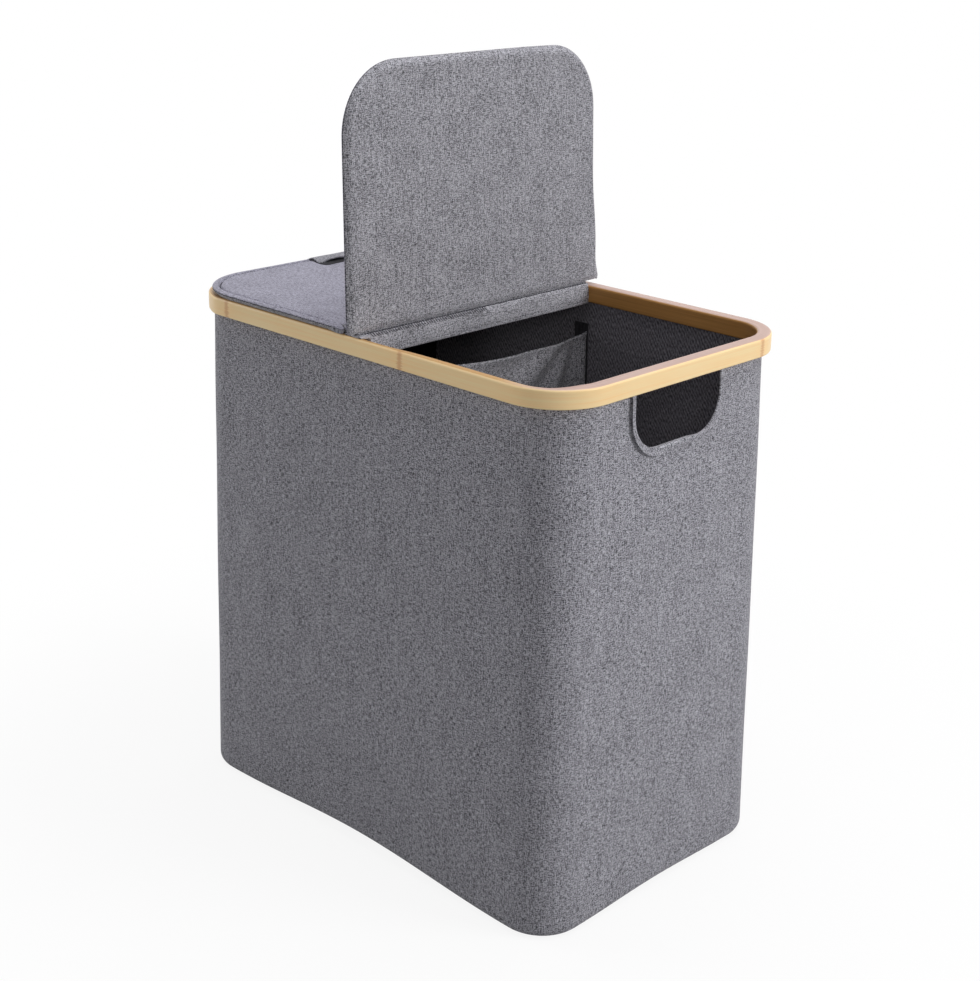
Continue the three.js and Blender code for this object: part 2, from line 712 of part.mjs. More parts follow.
function addLid(name, group) {
  const boardInset = lidCoverThickness + fitGap;
  const boardLow = lidUnderside + lidLiningThickness + fitGap;
  const boardHigh = lidTop - lidCoverThickness - fitGap;
  const lining = lidPlateGeometry(boardInset, lidUnderside, lidUnderside + lidLiningThickness);
  addPiece(`lid_cover_${name}`, lidCoverGeometry(), materials.lidFabric, group);
  addPiece(`lid_board_${name}`, lidPlateGeometry(boardInset, boardLow, boardHigh), materials.board, group);
  addPiece(`lid_lining_${name}`, lining, materials.lidFabric, group);
  const tab = addPiece(`pull_tab_${name}`, tabGeometry(), materials.lidFabric, group);
  hamper.add(group);
  return tab;
}

const rightLid = new THREE.Group();
rightLid.position.set(hingeAxisOffset, 0, hamperHeight);
rightLid.rotation.y = -THREE.MathUtils.degToRad(openLidAngle);
addLid('right', rightLid);

// The left lid is the same lid turned end for end, so its tab is moved across to the same side
const leftLid = new THREE.Group();
leftLid.position.set(-hingeAxisOffset, 0, hamperHeight);
leftLid.rotation.z = Math.PI;
addLid('left', leftLid).position.y = -2 * tabCentre;

export default hamper;
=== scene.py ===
# %% [markdown]
# # A laundry hamper with two bins
# The real hamper is a soft bag that hangs in a bent bamboo rim. Thin steel rods in its corners
# hold the rim up, a cloth divider splits it into two bins, and two cloth-covered lids hinge on a
# bar across the middle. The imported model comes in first: it fixes where everything is and how it
# moves. The steps below dress it with cloth, wood, seams and light. All lengths are in metres.

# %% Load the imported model
import json
import math

import bmesh
import bpy
import numpy as np
from mathutils import Matrix, Vector

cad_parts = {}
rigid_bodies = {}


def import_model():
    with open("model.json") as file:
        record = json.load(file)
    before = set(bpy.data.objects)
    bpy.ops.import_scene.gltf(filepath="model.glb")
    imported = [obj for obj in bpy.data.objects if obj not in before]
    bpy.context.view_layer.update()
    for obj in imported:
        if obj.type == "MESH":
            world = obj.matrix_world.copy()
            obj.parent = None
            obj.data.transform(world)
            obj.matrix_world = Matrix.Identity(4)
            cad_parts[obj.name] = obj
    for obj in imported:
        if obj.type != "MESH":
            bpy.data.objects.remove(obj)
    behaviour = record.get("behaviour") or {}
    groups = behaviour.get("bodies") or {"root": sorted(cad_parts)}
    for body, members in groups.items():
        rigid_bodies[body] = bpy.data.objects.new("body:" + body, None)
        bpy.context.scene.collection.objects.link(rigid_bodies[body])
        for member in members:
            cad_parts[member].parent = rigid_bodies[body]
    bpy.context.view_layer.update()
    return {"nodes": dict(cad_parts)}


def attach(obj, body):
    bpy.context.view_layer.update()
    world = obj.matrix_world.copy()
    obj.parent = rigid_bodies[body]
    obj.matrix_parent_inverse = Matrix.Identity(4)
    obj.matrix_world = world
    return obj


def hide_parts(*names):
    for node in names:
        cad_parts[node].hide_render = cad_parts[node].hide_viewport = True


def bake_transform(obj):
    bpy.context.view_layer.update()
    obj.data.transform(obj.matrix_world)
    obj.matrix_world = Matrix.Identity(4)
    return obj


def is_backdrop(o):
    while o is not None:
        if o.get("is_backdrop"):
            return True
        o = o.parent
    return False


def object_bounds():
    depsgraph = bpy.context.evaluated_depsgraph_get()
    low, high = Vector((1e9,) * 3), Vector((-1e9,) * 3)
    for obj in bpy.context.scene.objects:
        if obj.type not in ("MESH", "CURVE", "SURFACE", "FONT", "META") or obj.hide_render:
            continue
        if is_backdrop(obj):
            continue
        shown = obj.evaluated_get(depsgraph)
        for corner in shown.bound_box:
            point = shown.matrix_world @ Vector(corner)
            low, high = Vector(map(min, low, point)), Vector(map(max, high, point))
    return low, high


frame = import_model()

# %% [markdown]
# ## The camera
# The view looks down on the hamper from its front right, a little above the open lid. The eye
# point, the two turns, the slight lean and the lens were solved from the straight edges of the
# rim. A camera matrix holds its right, up and back directions as columns, so it is built from
# those three rather than from angles.

# %% Camera
eye = Vector((1.293459, -1.311811, 1.062606))
turn, tilt, lean = 0.770, 0.352, 0.018
focal_in_pixels, picture_side = 1718.562, 981

back = Vector((math.sin(turn) * math.cos(tilt), -math.cos(turn) * math.cos(tilt), math.sin(tilt)))
level_right = (-back).cross(Vector((0, 0, 1))).normalized()
level_up = level_right.cross(-back)
camera_right = math.cos(lean) * level_right + math.sin(lean) * level_up
camera_up = math.cos(lean) * level_up - math.sin(lean) * level_right

lens = bpy.data.cameras.new("camera")
lens.sensor_width = 36
lens.lens = focal_in_pixels / picture_side * lens.sensor_width
lens.clip_end = 200
camera = bpy.data.objects.new("camera", lens)
turned = Matrix((camera_right, camera_up, back)).transposed().to_4x4()
camera.matrix_world = Matrix.Translation(eye) @ turned
bpy.context.scene.collection.objects.link(camera)
bpy.context.scene.camera = camera
bpy.context.scene.view_settings.view_transform = "Standard"
print("lens:", round(lens.lens, 2), "mm")

# %% [markdown]
# ## Small tools for node trees
# Every finish below is a tree of shader nodes. `add` makes one node, and `fill` links or sets its
# inputs, which keeps each tree readable as a list. The short functions after them add the kinds of
# node that are used most, in the tree that their inputs belong to. `new_group` starts a node group
# with named sockets, for an effect that several finishes share.

# %% Node tools
def fill(node, values):
    for key, value in values.items():
        if isinstance(value, bpy.types.NodeSocket):
            node.id_data.links.new(value, node.inputs[key])
        else:
            node.inputs[key].default_value = value


def add(tree, kind, inputs=None, **options):
    made = tree.nodes.new(f"ShaderNode{kind}")
    for key, value in options.items():
        setattr(made, key, value)
    fill(made, inputs or {})
    return made


def maths(operation, *inputs, tree=None):
    tree = tree or next(i.id_data for i in inputs if isinstance(i, bpy.types.NodeSocket))
    return add(tree, "Math", dict(enumerate(inputs)), operation=operation).outputs[0]


def total(value, *others):
    for other in others:
        value = maths("ADD", value, other)
    return value


def relief(height, strength, depth):
    return add(height.id_data, "Bump", {"Strength": strength, "Distance": depth, "Height": height}).outputs[0]


def mix(share, none, full):
    return add(share.id_data, "Mix", {0: share, 6: none, 7: full}, data_type="RGBA").outputs[2]


def fade(value, low, high, at_low, at_high, kind="SMOOTHSTEP"):
    """Runs from at_low to at_high while the value runs from low to high, and stays there."""
    limits = {0: value, 1: low, 2: high, 3: at_low, 4: at_high}
    return add(value.id_data, "MapRange", limits, interpolation_type=kind).outputs[0]


def new_group(name, inputs, outputs):
    group = bpy.data.node_groups.new(name, "ShaderNodeTree")
    for socket, kind, value in inputs:
        made = group.interface.new_socket(socket, in_out="INPUT", socket_type=f"NodeSocket{kind}")
        if value is not None:
            made.default_value = value
    for socket, kind in outputs:
        group.interface.new_socket(socket, in_out="OUTPUT", socket_type=f"NodeSocket{kind}")
    return group, group.nodes.new("NodeGroupInput").outputs, group.nodes.new("NodeGroupOutput").inputs


def new_material(name):
    material = bpy.data.materials.new(name)
    material.use_nodes = True
    return material, material.node_tree, material.node_tree.nodes["Principled BSDF"]


def linear(red, green, blue):
    """A colour as seen on a screen, 0 to 255, as the linear colour that shaders use."""
    share = np.array([red, green, blue]) / 255
    return (*np.where(share <= 0.04045, share / 12.92, ((share + 0.055) / 1.055) ** 2.4).tolist(), 1.0)


# %% [markdown]
# ## Floor, world and lamps
# A product photo like this is taken on white paper under large soft lamps. The floor is one wide
# sheet. Camera rays see it as plain white, with a trace of the object's shadow left in close to
# the hamper, while light that bounces off it comes from a greyer colour, as from paper that falls
# off into a dim studio. The world does the same: white to the eye, dim as a lamp.

# %% Floor and world
white, bounced_grey, shown_grey = (1, 1, 1, 1), (0.42, 0.42, 0.42, 1), (0.95, 0.95, 0.95, 1)
shadow_starts, shadow_ends, least_white = 0.45, 0.95, 0.88
floor_radius = 40
ambient_strength = 0.18


def with_reflections(path, mask):
    """Adds to a mask the rays that arrive by way of a shiny or clear surface."""
    mask = maths("MAXIMUM", mask, path.outputs["Is Glossy Ray"])
    return maths("MAXIMUM", mask, path.outputs["Is Transmission Ray"])


paper, tree, _ = new_material("paper_floor")
tree.nodes.clear()
path = add(tree, "LightPath")
tone = mix(path.outputs["Is Camera Ray"], bounced_grey, shown_grey)
face = add(tree, "BsdfDiffuse", {"Color": tone})
glow = add(tree, "Emission", {"Color": white, "Strength": 1.0})
spot = add(tree, "TexCoord").outputs["Object"]
far = add(tree, "VectorMath", {0: spot}, operation="LENGTH").outputs["Value"]
plain = fade(far, shadow_starts, shadow_ends, least_white, 1.0)
seen = with_reflections(path, maths("MULTIPLY", path.outputs["Is Camera Ray"], plain))
both = add(tree, "MixShader", {0: seen, 1: face.outputs[0], 2: glow.outputs[0]})
add(tree, "OutputMaterial", {0: both.outputs[0]})

edge = np.linspace(0, 2 * np.pi, 64, endpoint=False)
floor_mesh = bpy.data.meshes.new("floor")
floor_mesh.from_pydata([(floor_radius * math.cos(a), floor_radius * math.sin(a), 0) for a in edge], [],
                       [list(range(len(edge)))])
floor = bpy.data.objects.new("floor", floor_mesh)
bpy.context.scene.collection.objects.link(floor)
floor_mesh.materials.append(paper)
floor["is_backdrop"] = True

world = bpy.data.worlds.new("studio")
bpy.context.scene.world = world
world.use_nodes = True
tree = world.node_tree
tree.nodes.clear()
ambient = add(tree, "Background", {"Color": white, "Strength": ambient_strength})
bright = add(tree, "Background", {"Color": white, "Strength": 1.0})
path = add(tree, "LightPath")
seen = with_reflections(path, path.outputs["Is Camera Ray"])
sky = add(tree, "MixShader", {0: seen, 1: ambient.outputs[0], 2: bright.outputs[0]})
add(tree, "OutputWorld", {0: sky.outputs[0]})
print("floor and world ready")

# %% Lamps
lit_point = Vector((0, 0, 0.42))


def soft_lamp(name, direction, distance, width, height, power, colour=(1, 1, 1)):
    """A softbox that stands off along a direction and faces the hamper."""
    light = bpy.data.lights.new(name, "AREA")
    light.shape = "RECTANGLE"
    light.size, light.size_y = width, height
    light.energy = power
    light.color = colour
    lamp = bpy.data.objects.new(name, light)
    away = Vector(direction).normalized()
    lamp.location = lit_point + away * distance
    lamp.rotation_mode = "QUATERNION"
    lamp.rotation_quaternion = (-away).to_track_quat("-Z", "Y")
    lamp.visible_camera = False
    bpy.context.scene.collection.objects.link(lamp)
    print(name, "-", power, "W")


soft_lamp("lamp_top", (0.05, 0.15, 1.0), 2.6, 2.2, 2.2, 49, (0.98, 0.98, 1.0))
soft_lamp("lamp_key", (0.86, 0.40, 0.38), 3.0, 1.2, 1.2, 43)
soft_lamp("lamp_left", (-0.85, -0.48, 0.28), 3.0, 1.4, 1.6, 23.5)
soft_lamp("lamp_near_the_eye", (0.68, -0.68, 0.38), 3.0, 0.7, 0.5, 9.4)

# %% [markdown]
# ## Woven cloth
# The grey cloth is a melange: every yarn is spun from pale and dark fibres, so it looks speckled
# from near and plain from far. Three noises make it. Two are stretched along the warp and along
# the weft, for yarns whose tone drifts along their length, and a round one gives the specks. The
# weave itself is too fine to colour and goes only into the height. Texture space is the cloth's
# own surface in metres, kept in the UV map, so yarns follow the cloth round every bend.

# %% Melange cloth group
yarn_pitch, thread_pitch = 0.0011, 0.0004
melange, enter, leave = new_group("melange_cloth", [
    ("Surface", "Vector", None), ("Pale", "Color", (0.5, 0.5, 0.5, 1)), ("Dark", "Color", (0.2, 0.2, 0.2, 1)),
    ("Yarn", "Float", yarn_pitch), ("Contrast", "Float", 1.0), ("Streaks", "Float", 0.2), ("Mottle", "Float", 0.2),
], [("Color", "Color"), ("Height", "Float")])


def stretched_noise(surface, yarn, across, along, detail, shift=0.0):
    """Noise whose features are `across` by `along` yarns in size."""
    tree = surface.id_data
    per_metre = maths("DIVIDE", 1.0, yarn, tree=tree)
    size = add(tree, "CombineXYZ", {0: maths("DIVIDE", per_metre, across),
                                              1: maths("DIVIDE", per_metre, along), 2: 1.0})
    placed = add(tree, "VectorMath", {0: surface, 1: size.outputs[0], 2: (shift, shift * 0.7, shift)},
                 operation="MULTIPLY_ADD")
    return add(tree, "TexNoise", {"Vector": placed.outputs[0], "Scale": 1.0, "Detail": detail,
                                            "Roughness": 0.6}, noise_dimensions="3D").outputs["Fac"]


def centred(value, strength):
    return maths("MULTIPLY", maths("SUBTRACT", value, 0.5), strength)


def clamped(value):
    return add(value.id_data, "Clamp", {0: value}).outputs[0]


surface, yarn = enter["Surface"], enter["Yarn"]
warp = stretched_noise(surface, yarn, 0.9, 5.0, 1.0)
weft = stretched_noise(surface, yarn, 5.0, 0.9, 1.0, 13.0)
speck = stretched_noise(surface, yarn, 1.0, 1.0, 1.0, 29.0)
streak = stretched_noise(surface, yarn, 1.6, 60.0, 2.0, 41.0)
mottle = stretched_noise(surface, yarn, 24.0, 30.0, 2.0, 57.0)
tone = maths("MULTIPLY", total(centred(warp, 1.6), centred(weft, 1.6), centred(speck, 2.4)), enter["Contrast"])
streaks = centred(streak, maths("MULTIPLY", enter["Streaks"], 3.0))
tone = clamped(total(tone, streaks, centred(mottle, enter["Mottle"]), 0.5))
place = add(melange, "SeparateXYZ", {0: surface})
beat = maths("DIVIDE", math.pi / 0.75, yarn)
over = maths("MULTIPLY", *[maths("SINE", maths("MULTIPLY", place.outputs[k], beat)) for k in (0, 1)])
melange.links.new(mix(tone, enter["Dark"], enter["Pale"]), leave["Color"])
melange.links.new(maths("MULTIPLY_ADD", over, 0.35, tone), leave["Height"])


def cloth_finish(name, pale, dark, group=melange, bump=0.25, sheen=0.12, **values):
    """A cloth in two screen colours. The values go to the group's inputs of the same names."""
    material, tree, shader = new_material(name)
    where = add(tree, "TexCoord").outputs["UV"]
    values = {"Surface": where, "Pale": linear(*pale), "Dark": linear(*dark), **values}
    cloth = add(tree, "Group", values, node_tree=group)
    fill(shader, {"Base Color": cloth.outputs["Color"], "Roughness": 0.95, "Specular IOR Level": 0.25,
                  "Sheen Weight": sheen, "Sheen Roughness": 0.5,
                  "Normal": relief(cloth.outputs["Height"], bump, 0.0006)})
    return material


body_cloth = cloth_finish("grey_melange_cloth", (199, 198, 207), (49, 48, 54), Contrast=1.05, Mottle=0.25)
lid_cloth = cloth_finish("lid_melange_cloth", (195, 194, 202), (63, 63, 67), Streaks=0.22, Mottle=0.4)
# Painted light: the lid cloth made lighter and bluer for the lids' top faces.
lid_top_lit_cloth = cloth_finish("lid_top_painted_light_cloth", (205, 203, 219), (90, 88, 99), Contrast=0.75,
                             Streaks=0.1, Mottle=0.3)
divider_cloth = cloth_finish("divider_melange_cloth", (186, 185, 192), (55, 54, 59), Contrast=1.1)
whip_thread, thread, dark_thread = [
    cloth_finish(name, pale, dark, bump=0.3, Yarn=thread_pitch) for name, pale, dark in (
        ("whip_thread", (74, 73, 82), (44, 43, 50)), ("grey_thread", (96, 95, 104), (60, 59, 68)),
        ("dark_thread", (62, 61, 70), (34, 34, 40)))]
print("melange cloths ready")

# %% [markdown]
# ## Dark lining and webbing
# The lining is a thin dark cloth with a steep diagonal rib that shows even from far away. A sine
# across the rib direction, broken up by noise, gives it. The webbing on the rod pockets and
# tapes is the same idea with straight fine ribs.

# %% Ribbed cloth group
ribbed, enter, leave = new_group("ribbed_cloth", [
    ("Surface", "Vector", None), ("Pale", "Color", (0.06, 0.06, 0.06, 1)), ("Dark", "Color", (0.02, 0.02, 0.02, 1)),
    ("Across", "Float", 0.0049), ("Up", "Float", 0.0074), ("Break", "Float", 0.6), ("Yarn", "Float", yarn_pitch),
], [("Color", "Color"), ("Height", "Float")])
surface = enter["Surface"]
place = add(ribbed, "SeparateXYZ", {0: surface})
run = maths("SUBTRACT", maths("DIVIDE", place.outputs[1], enter["Up"]),
            maths("DIVIDE", place.outputs[0], enter["Across"]))
run = maths("ADD", run, centred(stretched_noise(surface, 0.02, 1.0, 1.0, 1.0), 1.0))
rib = maths("SINE", maths("MULTIPLY", run, 2 * math.pi))
broken = stretched_noise(surface, enter["Yarn"], 1.3, 3.5, 1.0, 7.0)
tone = maths("MULTIPLY_ADD", rib, 0.20, 0.46)
tone = clamped(maths("ADD", tone, centred(broken, maths("MULTIPLY", enter["Break"], 4.0))))
ribbed.links.new(mix(tone, enter["Dark"], enter["Pale"]), leave["Color"])
ribbed.links.new(tone, leave["Height"])

lining_cloth = cloth_finish("dark_ribbed_lining", (134, 131, 138), (54, 52, 58), ribbed, 0.35, 0.05,
                            Across=0.0049, Up=-0.0074)
webbing = cloth_finish("black_webbing", (46, 45, 50), (18, 18, 21), ribbed, 0.4, 0.05, Across=0.0016, Up=0.5)
print("dark cloths ready")

# %% [markdown]
# ## Bamboo
# Bamboo is grass, not wood: straight fibres run the whole strip, and every 25 to 28 cm a node
# crosses it as a narrow reddish band. The strip's UV map runs along the hoop in metres, so long
# thin noise gives the fibres, and the distance to the nearest place on a list gives the nodes.

# %% Bamboo group
bamboo_grain, enter, leave = new_group("bamboo_grain", [
    ("Surface", "Vector", None), ("Pale", "Color", (0.8, 0.6, 0.4, 1)), ("Dark", "Color", (0.5, 0.3, 0.15, 1)),
    ("Node distance", "Float", 1.0), ("Node colour", "Color", (0.5, 0.25, 0.12, 1)),
], [("Color", "Color"), ("Height", "Float"), ("Tone", "Float"), ("Gloss", "Float")])
surface = enter["Surface"]
fibre = stretched_noise(surface, 0.0005, 160.0, 1.0, 3.0)
ribbon = stretched_noise(surface, 0.0035, 60.0, 1.0, 2.0, 11.0)
drift = stretched_noise(surface, 0.05, 2.0, 1.0, 1.0, 23.0)
ragged = stretched_noise(surface, 0.0011, 14.0, 1.0, 2.0, 31.0)
offset = maths("ADD", enter["Node distance"], centred(ragged, 0.0100))
mark = maths("MULTIPLY", fade(offset, 0.0008, 0.0052, 1.0, 0.0), 0.5)
halo = fade(offset, 0.002, 0.022, 1.0, 0.0)
tone = total(centred(fibre, 0.9), centred(ribbon, 0.9), centred(drift, 0.5))
tone = maths("SUBTRACT", tone, maths("MULTIPLY", halo, maths("MULTIPLY", fibre, 0.22)))
tone = clamped(maths("ADD", tone, 0.62))
colour = mix(mark, mix(tone, enter["Dark"], enter["Pale"]), enter["Node colour"])
for value, name in ((colour, "Color"), (maths("SUBTRACT", maths("MULTIPLY", fibre, 0.5), mark), "Height"),
                    (tone, "Tone"), (maths("MULTIPLY_ADD", fibre, 0.14, 0.36), "Gloss")):
    bamboo_grain.links.new(value, leave[name])


def bamboo_finish(name, pale, dark, nodes=(), surface_kind="UV", coat=0.12, zones=()):
    """nodes gives the places of the nodes along the strip. zones gives the parts of another colour:
    (start and stop up the section, start and stop along the hoop, pale, dark)."""
    material, tree, shader = new_material(name)
    where = add(tree, "TexCoord").outputs[surface_kind]
    if surface_kind == "Object":
        x, y, z = add(tree, "SeparateXYZ", {0: where}).outputs
        where = add(tree, "CombineXYZ", {0: y, 1: x, 2: z}).outputs[0]
    grain = add(tree, "Group", {"Surface": where, "Pale": linear(*pale), "Dark": linear(*dark),
                                          "Node colour": linear(196, 126, 84)}, node_tree=bamboo_grain)
    place = add(tree, "SeparateXYZ", {0: where}).outputs
    nearest = 1.0
    for spot in nodes:
        nearest = maths("MINIMUM", nearest, maths("ABSOLUTE", maths("SUBTRACT", place[0], spot)))
    if nodes:
        tree.links.new(nearest, grain.inputs["Node distance"])
    colour = grain.outputs["Color"]
    for low, high, start, stop, zone_pale, zone_dark in zones:
        inside = 1.0
        for axis, lower, upper, soft in ((1, low, high, 0.0005), (0, start, stop, 0.03)):
            for limit, before, after in ((lower, 0.0, 1.0), (upper, 1.0, 0.0)):
                band = fade(place[axis], limit - soft, limit + soft, before, after, "LINEAR")
                inside = maths("MULTIPLY", inside, band)
        colour = mix(inside, colour, mix(grain.outputs["Tone"], linear(*zone_dark), linear(*zone_pale)))
    fill(shader, {"Base Color": colour, "Roughness": grain.outputs["Gloss"], "Specular IOR Level": 0.3,
                  "Coat Weight": coat, "Coat Roughness": 0.20,
                  "Normal": relief(grain.outputs["Height"], 0.2, 0.0004)})
    return material


print("bamboo ready")

# %% [markdown]
# ## Meshes from rows of points
# Most pieces here are skins: rows of points round or across the piece, joined into quads. The UV
# map takes the distance along the columns and along the rows in metres. A skin can close round
# its columns, as a hoop does, and along its rows, as a tube does, or a flat cap can close its
# first and last rows.

# %% Skin tool
def place_mesh(name, points, faces, corner_uv, material, sharp=60):
    mesh = bpy.data.meshes.new(name)
    mesh.from_pydata(np.asarray(points, float).reshape(-1, 3).tolist(), [], [list(map(int, f)) for f in faces])
    mesh.uv_layers.new(name="surface").data.foreach_set("uv", np.asarray(corner_uv, np.float32).ravel())
    mesh.shade_smooth()
    mesh.set_sharp_from_angle(angle=math.radians(sharp))
    made = bpy.data.objects.new(name, mesh)
    bpy.context.scene.collection.objects.link(made)
    if material:
        mesh.materials.append(material)
    return made


def skin(name, rows, run, rise, material, around=True, along=False, sharp=60, uv=None, caps=()):
    """rows is (row, column, xyz). run has a distance for every column, and one more if it closes
    around. rise has one for every row, and one more if it closes along. uv can stand for both.
    caps names the rows to close, 0 for the first and -1 for the last."""
    rows = np.asarray(rows, float)
    n_rows, n_columns = rows.shape[:2]
    r, c = np.meshgrid(np.arange(n_rows if along else n_rows - 1),
                       np.arange(n_columns if around else n_columns - 1), indexing="ij")
    corners = ((r, c), (r, c + 1), (r + 1, c + 1), (r + 1, c))
    faces = np.stack([(r2 % n_rows) * n_columns + c2 % n_columns for r2, c2 in corners], -1).reshape(-1, 4).tolist()
    if uv is None:
        corner_uv = np.stack([np.stack([run[c2], rise[r2]], -1) for r2, c2 in corners], -2).reshape(-1, 2)
    else:
        corner_uv = np.stack([uv[r2 % n_rows, c2 % n_columns] for r2, c2 in corners], -2).reshape(-1, 2)
    flat = rows[..., :2] if uv is None else uv
    for row in caps:
        ring = np.arange(n_columns)[:: 1 if row else -1]
        faces.append((row % n_rows * n_columns + ring).tolist())
        corner_uv = np.concatenate([corner_uv, flat[row][ring]])
    made = place_mesh(name, rows, faces, corner_uv, material, sharp)
    if along or caps:
        work = bmesh.new()
        work.from_mesh(made.data)
        bmesh.ops.recalc_face_normals(work, faces=work.faces)
        work.to_mesh(made.data)
        work.free()
    return made


both_ends = (0, -1)


def dress(piece, body, slot, *nodes):
    """The piece rides on a body and stands for CAD nodes, which it hides. The slot is not used."""
    if nodes:
        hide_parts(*nodes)
    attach(piece, body)
    print(piece.name, "-", len(piece.data.polygons), "faces")


def smooth(value, low=0.0, high=1.0):
    share = np.clip((np.asarray(value, float) - low) / (high - low), 0, 1)
    return share * share * (3 - 2 * share)


def coords(*parts):
    """Points from their coordinates, each a number or an array."""
    return np.stack(np.broadcast_arrays(*parts), -1)


def distances(points, closed=False):
    """How far each point lies along a path, and the way back to the first if it is closed."""
    points = np.asarray(points, float)
    if closed:
        points = np.vstack([points, points[:1]])
    return np.concatenate([[0], np.cumsum(np.linalg.norm(np.diff(points, axis=0), axis=1))])


def tenths(numbers):
    """Tenths of a millimetre, in which the small sections are written, as metres."""
    return np.array(numbers) / 1e4


def apply_modifier(piece, kind, **options):
    modifier = piece.modifiers.new(kind.lower(), kind)
    for key, value in options.items():
        setattr(modifier, key, value)
    bpy.context.view_layer.objects.active = piece
    bpy.ops.object.modifier_apply(modifier=modifier.name)


side_name = {1: "right", -1: "left"}
end_name = {1: "back", -1: "front"}

# %% [markdown]
# ## The hamper's plan
# Seen from above, rim and body are rounded rectangles. Each column of points has a core, which
# slides along the straight sides and stands still in the corners, and a direction outward. A
# ring at any inset is then core plus direction times what is left of the corner radius. The base
# has tighter corners than the rim, and its edge is drawn up between the corners.

# %% Plan
half_length, half_width = 0.290, 0.186
rim_top, rim_under = 0.600, 0.580
rim_radius, base_radius, least_radius = 0.065, 0.052, 0.013
lift_of_long_side, lift_of_end = 0.011, 0.0035


def plan(step, corner_steps):
    """Columns anticlockwise from the middle of the back."""
    long, end = half_length - rim_radius, half_width - rim_radius
    parts = [(0, 1, 90)]
    for x, y, to_x, to_y, angle, length in ((0, 1, -1, 1, 90, long), (-1, 1, -1, -1, 180, 2 * end),
                                            (-1, -1, 1, -1, 270, 2 * long), (1, -1, 1, 1, 360, 2 * end),
                                            (1, 1, 0, 1, 450, long)):
        for share in np.linspace(0, 1, max(2, round(length / step)) + 1)[1:]:
            parts.append((x + (to_x - x) * share, y + (to_y - y) * share, angle))
        if to_x:
            parts += [(to_x, to_y, angle + 90 * share) for share in np.linspace(0, 1, corner_steps + 1)[1:]]
    x, y, angle = np.array(parts[:-1]).T
    columns = {"x": x, "y": y, "out": coords(np.cos(np.radians(angle)), np.sin(np.radians(angle)))}
    columns["out3"] = np.pad(columns["out"], ((0, 0), (0, 1)))
    columns["run"] = distances(outline(columns, 0, 0), closed=True)
    reach = np.abs(outline(columns, 0, 1)) / (half_length - base_radius, half_width - base_radius)
    wave = (1 + np.cos(np.pi * np.minimum(reach, 1))) / 2
    columns["lift"] = np.where(reach[:, 0] < 1, lift_of_long_side * wave[:, 0], lift_of_end * wave[:, 1])
    return columns


def outline(columns, inset, at_base):
    radius = rim_radius + (base_radius - rim_radius) * at_base
    kept = min(inset, radius - least_radius)
    core = coords(columns["x"] * (half_length - (inset - kept) - radius),
                  columns["y"] * (half_width - (inset - kept) - radius))
    return core + columns["out"] * (radius - kept)


def ring(columns, inset, z, at_base=0.0, level=0.0):
    """One ring of points. A ring at the base follows the lift of its edge, or lies level."""
    lifted = (columns["lift"] * (1 - level) + lift_of_long_side * level) * at_base
    return np.concatenate([outline(columns, inset, at_base), (z + lifted)[:, None]], axis=1)


def wall(start, stop, steps):
    return [start * (1 - s) + stop * s for s in np.linspace(0, 1, steps)]


def rise_of(rows, closed=False):
    """Distance along the section, measured down the first column."""
    return distances([row[0] for row in rows], closed)


fine, medium, hoop_plan = plan(0.006, 20), plan(0.011, 14), plan(0.02, 28)
print("columns round the body:", len(fine["x"]), "- way round the rim:", round(float(fine["run"][-1]), 3), "m")

# %% [markdown]
# ## Bamboo rim
# The rim is one strip of bamboo, 20 by 16 mm, bent to a hoop, with softly rounded edges and a
# groove underneath that holds the top hems of the cloth. Its section is swept round the plan.
# Two short spans beside each rounding keep the flat faces flat when they are shaded smooth. Along
# the front the strip twists a little, so that its top slopes inward, and the front left bend is a
# little tighter than the others. The outside is the golden skin. On the ends and back the top face is
# pinker and greyer, partly the cut edge's own colour and partly a painted reflection of the white
# overhead; along the front it is a darker gold, a painted reflection of the open lid. The inside face
# is a darker brown. The material takes these colours from where a point lies on the section.

# %% Rim
def arc(inset, z, radius, start, steps):
    """A quarter of a rounding in a section, as (inset, height). Angle 0 points outward."""
    angles = np.radians(np.linspace(start, start + 90, steps + 1))
    return [(inset - radius * math.cos(a), z + radius * math.sin(a)) for a in angles]


section = arc(0.0012, 0.5812, 0.0012, -90, 4) + [(0, 0.5822), (0, 0.5962)] + arc(0.003, 0.597, 0.003, 0, 7)
section += [(0.0038, 0.6), (0.0122, 0.6)] + arc(0.013, 0.597, 0.003, 90, 7) + [(0.016, 0.5962), (0.016, 0.5822)]
section += arc(0.0148, 0.5812, 0.0012, 180, 4) + [(0.0133, 0.58), (0.0133, 0.586), (0.0087, 0.586), (0.0087, 0.58)]
rows = [ring(hoop_plan, inset, z) for inset, z in section]
section_run = rise_of(rows, True)
outward = hoop_plan["out"]
on_front = smooth(-hoop_plan["y"], 0.9, 0.999) * smooth(-outward[:, 1], 0.3, 0.95)
front_x = outline(hoop_plan, 0.008, 0)[:, 0]
drawn_in = 0.0028 * smooth(-(outward @ np.array([0.707, 0.707])), 0.74, 0.98)
dip = on_front * (0.0026 + 0.0020 * np.exp(-((front_x - 0.020) / 0.045) ** 2))
for k, (inset, z) in enumerate(section):
    rows[k][:, 2] -= dip * smooth(z, 0.590, 0.597) * smooth(inset, 0.002, 0.0135)
    rows[k][:, :2] -= outward * drawn_in[:, None]
top_starts, top_ends, inside_ends = section_run[[11, 20, 30]]
front_starts, front_ends = 0.62, float(hoop_plan["run"][:-1][outward[:, 1] < -0.999].max()) + 0.01
hoop_ends = float(hoop_plan["run"][-1]) + 1
# Painted reflection: pink-grey top on the ends and back (partly its own colour), and a darker gold top along the front
# where the open lid would be reflected.
sawn_and_painted_reflection, painted_lid_reflection = ((206, 176, 164), (172, 142, 130)), ((214, 172, 116), (176, 132, 84))
# The inside face is given a darker brown.
darker_inside = (192, 140, 78), (136, 94, 46)
